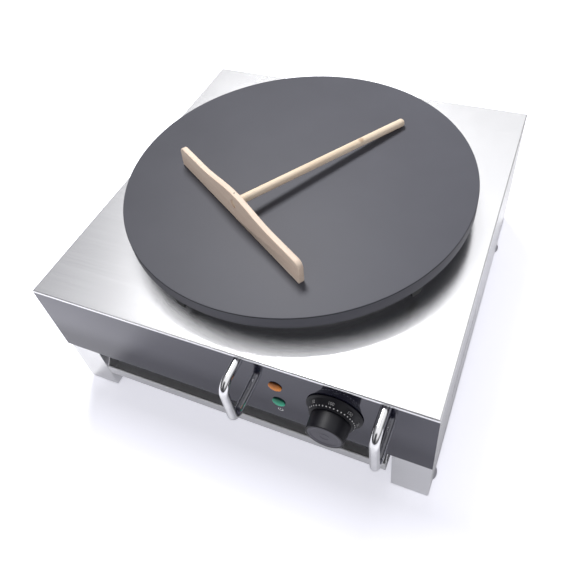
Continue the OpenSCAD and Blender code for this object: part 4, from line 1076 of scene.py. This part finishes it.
class CREPE_OT_stage(Operator):
    """Lay the floor and set the studio's walls, lamps and camera"""

    bl_idname = "crepe.stage"
    bl_label = "Studio"

    def execute(self, context):
        s = context.scene.crepe_stage
        self.floor()
        self.walls(s.walls)
        self.soft_box(s.key)
        self.camera()
        context.scene.view_settings.view_transform = "Standard"
        return {"FINISHED"}

    def rays(self, tree, *names):
        """1 for rays of these kinds."""
        path = tree.add("ShaderNodeLightPath").socket.node.outputs
        found = [Value(tree, path[name]) for name in names]
        return sum(found[1:], found[0]).clip()

    def floor(self):
        """A pale sheet that shows white, with painted light in its glow that lightens the body's shadow, and
        a greyer patch painted into what the machine's front mirrors.
        """
        r = 6.0
        corners = [(-r, -r, 0), (r, -r, 0), (r, r, 0), (-r, r, 0)]
        mesh = bpy.data.meshes.new("studio_floor")
        mesh.from_pydata(corners, [], [(0, 1, 2, 3)])
        linked("studio_floor", mesh)
        f = Finish("studio floor")
        paper = f.mottled(f.noise(3.0, 2.0), (0.745, 0.745, 0.755), (0.755, 0.755, 0.765))
        matt = f.add("ShaderNodeBsdfDiffuse", {"Color": paper})
        x, y, _ = f.parts(f.place)
        far = f.vectors("DISTANCE", f.place, (0.11, -0.28, 0.0), out=1)
        away = far.spread(0.42, 1.0)
        # Painted light: the glow that cameras see is raised far off, to the body's right, in front of it and
        # to its left, lightening its shadow there.
        shaded = x.spread(0.17, 0.28) * (1.0 - away)
        # Painted reflection: glossy rays see a greyer floor near the body's foot, behind it and to its left.
        mirrored = self.mirrored_floor(x, y, far) + shaded * 0.16
        front_and_left_light = (y.spread(-0.235, -0.290) + x.spread(-0.20, -0.26)).clip()
        shown = away * 0.42 + shaded * 0.24 + front_and_left_light * 0.30 + 0.53
        glossy = self.rays(f, *MIRRORS)
        strength = self.rays(f, "Is Camera Ray") * shown + glossy * mirrored
        glow = f.add("ShaderNodeEmission", {"Color": (0.96, 0.96, 1.06, 1.0), "Strength": strength})
        both = f.add("ShaderNodeAddShader", {0: matt, 1: glow})
        f.end("ShaderNodeOutputMaterial", both)
        mesh.materials.append(f.material)

    def mirrored_floor(self, x, y, far):
        """How brightly the floor is mirrored: dim behind, at the left and near the body's foot."""
        close = y.spread(-0.284, -0.266)
        strip = close * (1.0 - y.spread(-0.22, -0.20))
        beside = 1.0 - y.spread(-0.10, 0.05) * 0.2
        behind = 1.0 - y.spread(0.18, 0.30) * 0.9
        on_left = 1.0 - x.spread(-0.20, -0.32) * y.spread(-0.20, -0.10) * 0.9
        patch = (far.spread(0.11, 0.42) ** 1.8) * 0.32 * (1.0 - strip * 0.8) * beside * behind * on_left
        return patch + (1.0 - close) * 0.44 + strip * 0.22 + 0.035

    def walls(self, strength):
        """Studio walls: dark at the horizon, pale above it and brightest overhead, greyer to the left."""
        left_wall, right_wall, front_wall = (0.37, 0.37, 0.39), (1.24, 1.24, 1.26), (0.05, 0.05, 0.055)
        world = bpy.data.worlds.new("studio")
        world.use_nodes = True
        bpy.context.scene.world = world
        w = Tree(world.node_tree)
        world.node_tree.nodes.clear()
        x, y, z = w.parts(w.add("ShaderNodeTexCoord"))
        wall = w.blend(x.spread(-0.64, -0.48), left_wall, right_wall)
        rise = w.ramp(z, (0.0, 0.13), (0.28, 0.20), (0.5, 0.78), (0.64, 1.0))
        aside = x + 0.05
        ahead = y.spread(-0.28, -0.46) * (1.0 - (aside * aside).spread(0.04, 0.22))
        profile = w.blend(ahead, rise, front_wall)
        layers = {0: 1.0, 6: wall, 7: profile}
        tone = w.add("ShaderNodeMix", layers, 2, data_type="RGBA", blend_type="MULTIPLY")
        fall = (1.0 - y * 0.85) * (1.0 - z * 0.85) * strength
        glossy = self.rays(w, *MIRRORS)
        plain = w.add("ShaderNodeBackground", {"Color": (1.0, 1.0, 1.0, 1.0)})
        shown = w.add("ShaderNodeBackground", {"Color": tone})
        fill = w.add("ShaderNodeBackground", {"Color": (1.0, 1.0, 1.03, 1.0), "Strength": fall})
        other = w.add("ShaderNodeMixShader", {0: glossy, 1: fill, 2: shown})
        mixed = w.add("ShaderNodeMixShader", {0: self.rays(w, "Is Camera Ray"), 1: other, 2: plain})
        w.end("ShaderNodeOutputWorld", mixed)

    def soft_box(self, power):
        """A round soft light, behind and to the left, that points at the machine."""
        at = Vector((-0.58, 0.78, 2.00))
        light = bpy.data.lights.new("soft box", "AREA")
        light.shape = "DISK"
        light.size = 0.7
        light.energy = power
        thing = linked("soft box", light)
        thing.location = at
        thing.rotation_euler = (-at).to_track_quat("-Z", "Y").to_euler()

    def camera(self):
        """A camera that looks down at the front from the right, slightly rolled."""
        at = Vector((0.24752, -0.46422, 0.67525))
        turn, rise, roll = (radians(a) for a in (28.71263, 48.16045, -8.14053))
        back = Vector((sin(turn) * cos(rise), -cos(turn) * cos(rise), sin(rise)))
        level = (-back).cross(Vector((0, 0, 1))).normalized()
        up = level.cross(-back)
        side = level * cos(roll) + up * sin(roll)
        up = up * cos(roll) - level * sin(roll)
        data = bpy.data.cameras.new("camera")
        data.lens = 37.675
        data.shift_x = -0.02295
        data.shift_y = -0.05898
        camera = linked("camera", data)
        camera.matrix_world = Matrix.Translation(at) @ Matrix((side, up, back)).transposed().to_4x4()
        bpy.context.scene.camera = camera


class CREPE_PT_sidebar(Panel):
    """Lists the crepe maker's pieces"""

    bl_idname = "CREPE_PT_sidebar"
    bl_label = "Crepe maker"
    bl_space_type = "VIEW_3D"
    bl_region_type = "UI"
    bl_category = "Crepe maker"

    def draw(self, context):
        for step in STEPS:
            self.layout.operator(step.bl_idname)
        for name in SETTINGS:
            group = getattr(context.scene, name)
            for key in type(group).__annotations__:
                self.layout.prop(group, key)


STEPS = (
    CREPE_OT_body, CREPE_OT_panel, CREPE_OT_griddle, CREPE_OT_heater, CREPE_OT_dial, CREPE_OT_lamps,
    CREPE_OT_handles, CREPE_OT_thermostat, CREPE_OT_tray, CREPE_OT_spreader, CREPE_OT_stage,
)
SETTINGS = {
    "crepe_body": CrepeBodySettings,
    "crepe_griddle": CrepeGriddleSettings,
    "crepe_dial": CrepeDialSettings,
    "crepe_lamps": CrepeLampSettings,
    "crepe_handles": CrepeHandleSettings,
    "crepe_spreader": CrepeSpreaderSettings,
    "crepe_stage": CrepeStageSettings,
}


def register():
    for group in SETTINGS.values():
        bpy.utils.register_class(group)
    for name, group in SETTINGS.items():
        setattr(bpy.types.Scene, name, PointerProperty(type=group))
    for step in STEPS + (CREPE_PT_sidebar,):
        bpy.utils.register_class(step)


def unregister():
    for step in reversed(STEPS + (CREPE_PT_sidebar,)):
        bpy.utils.unregister_class(step)
    for name in SETTINGS:
        delattr(bpy.types.Scene, name)
    for group in SETTINGS.values():
        bpy.utils.unregister_class(group)


def main():
    register()
    for step in STEPS:
        group, name = step.bl_idname.split(".")
        getattr(getattr(bpy.ops, group), name)()


if __name__ == "__main__":
    main()
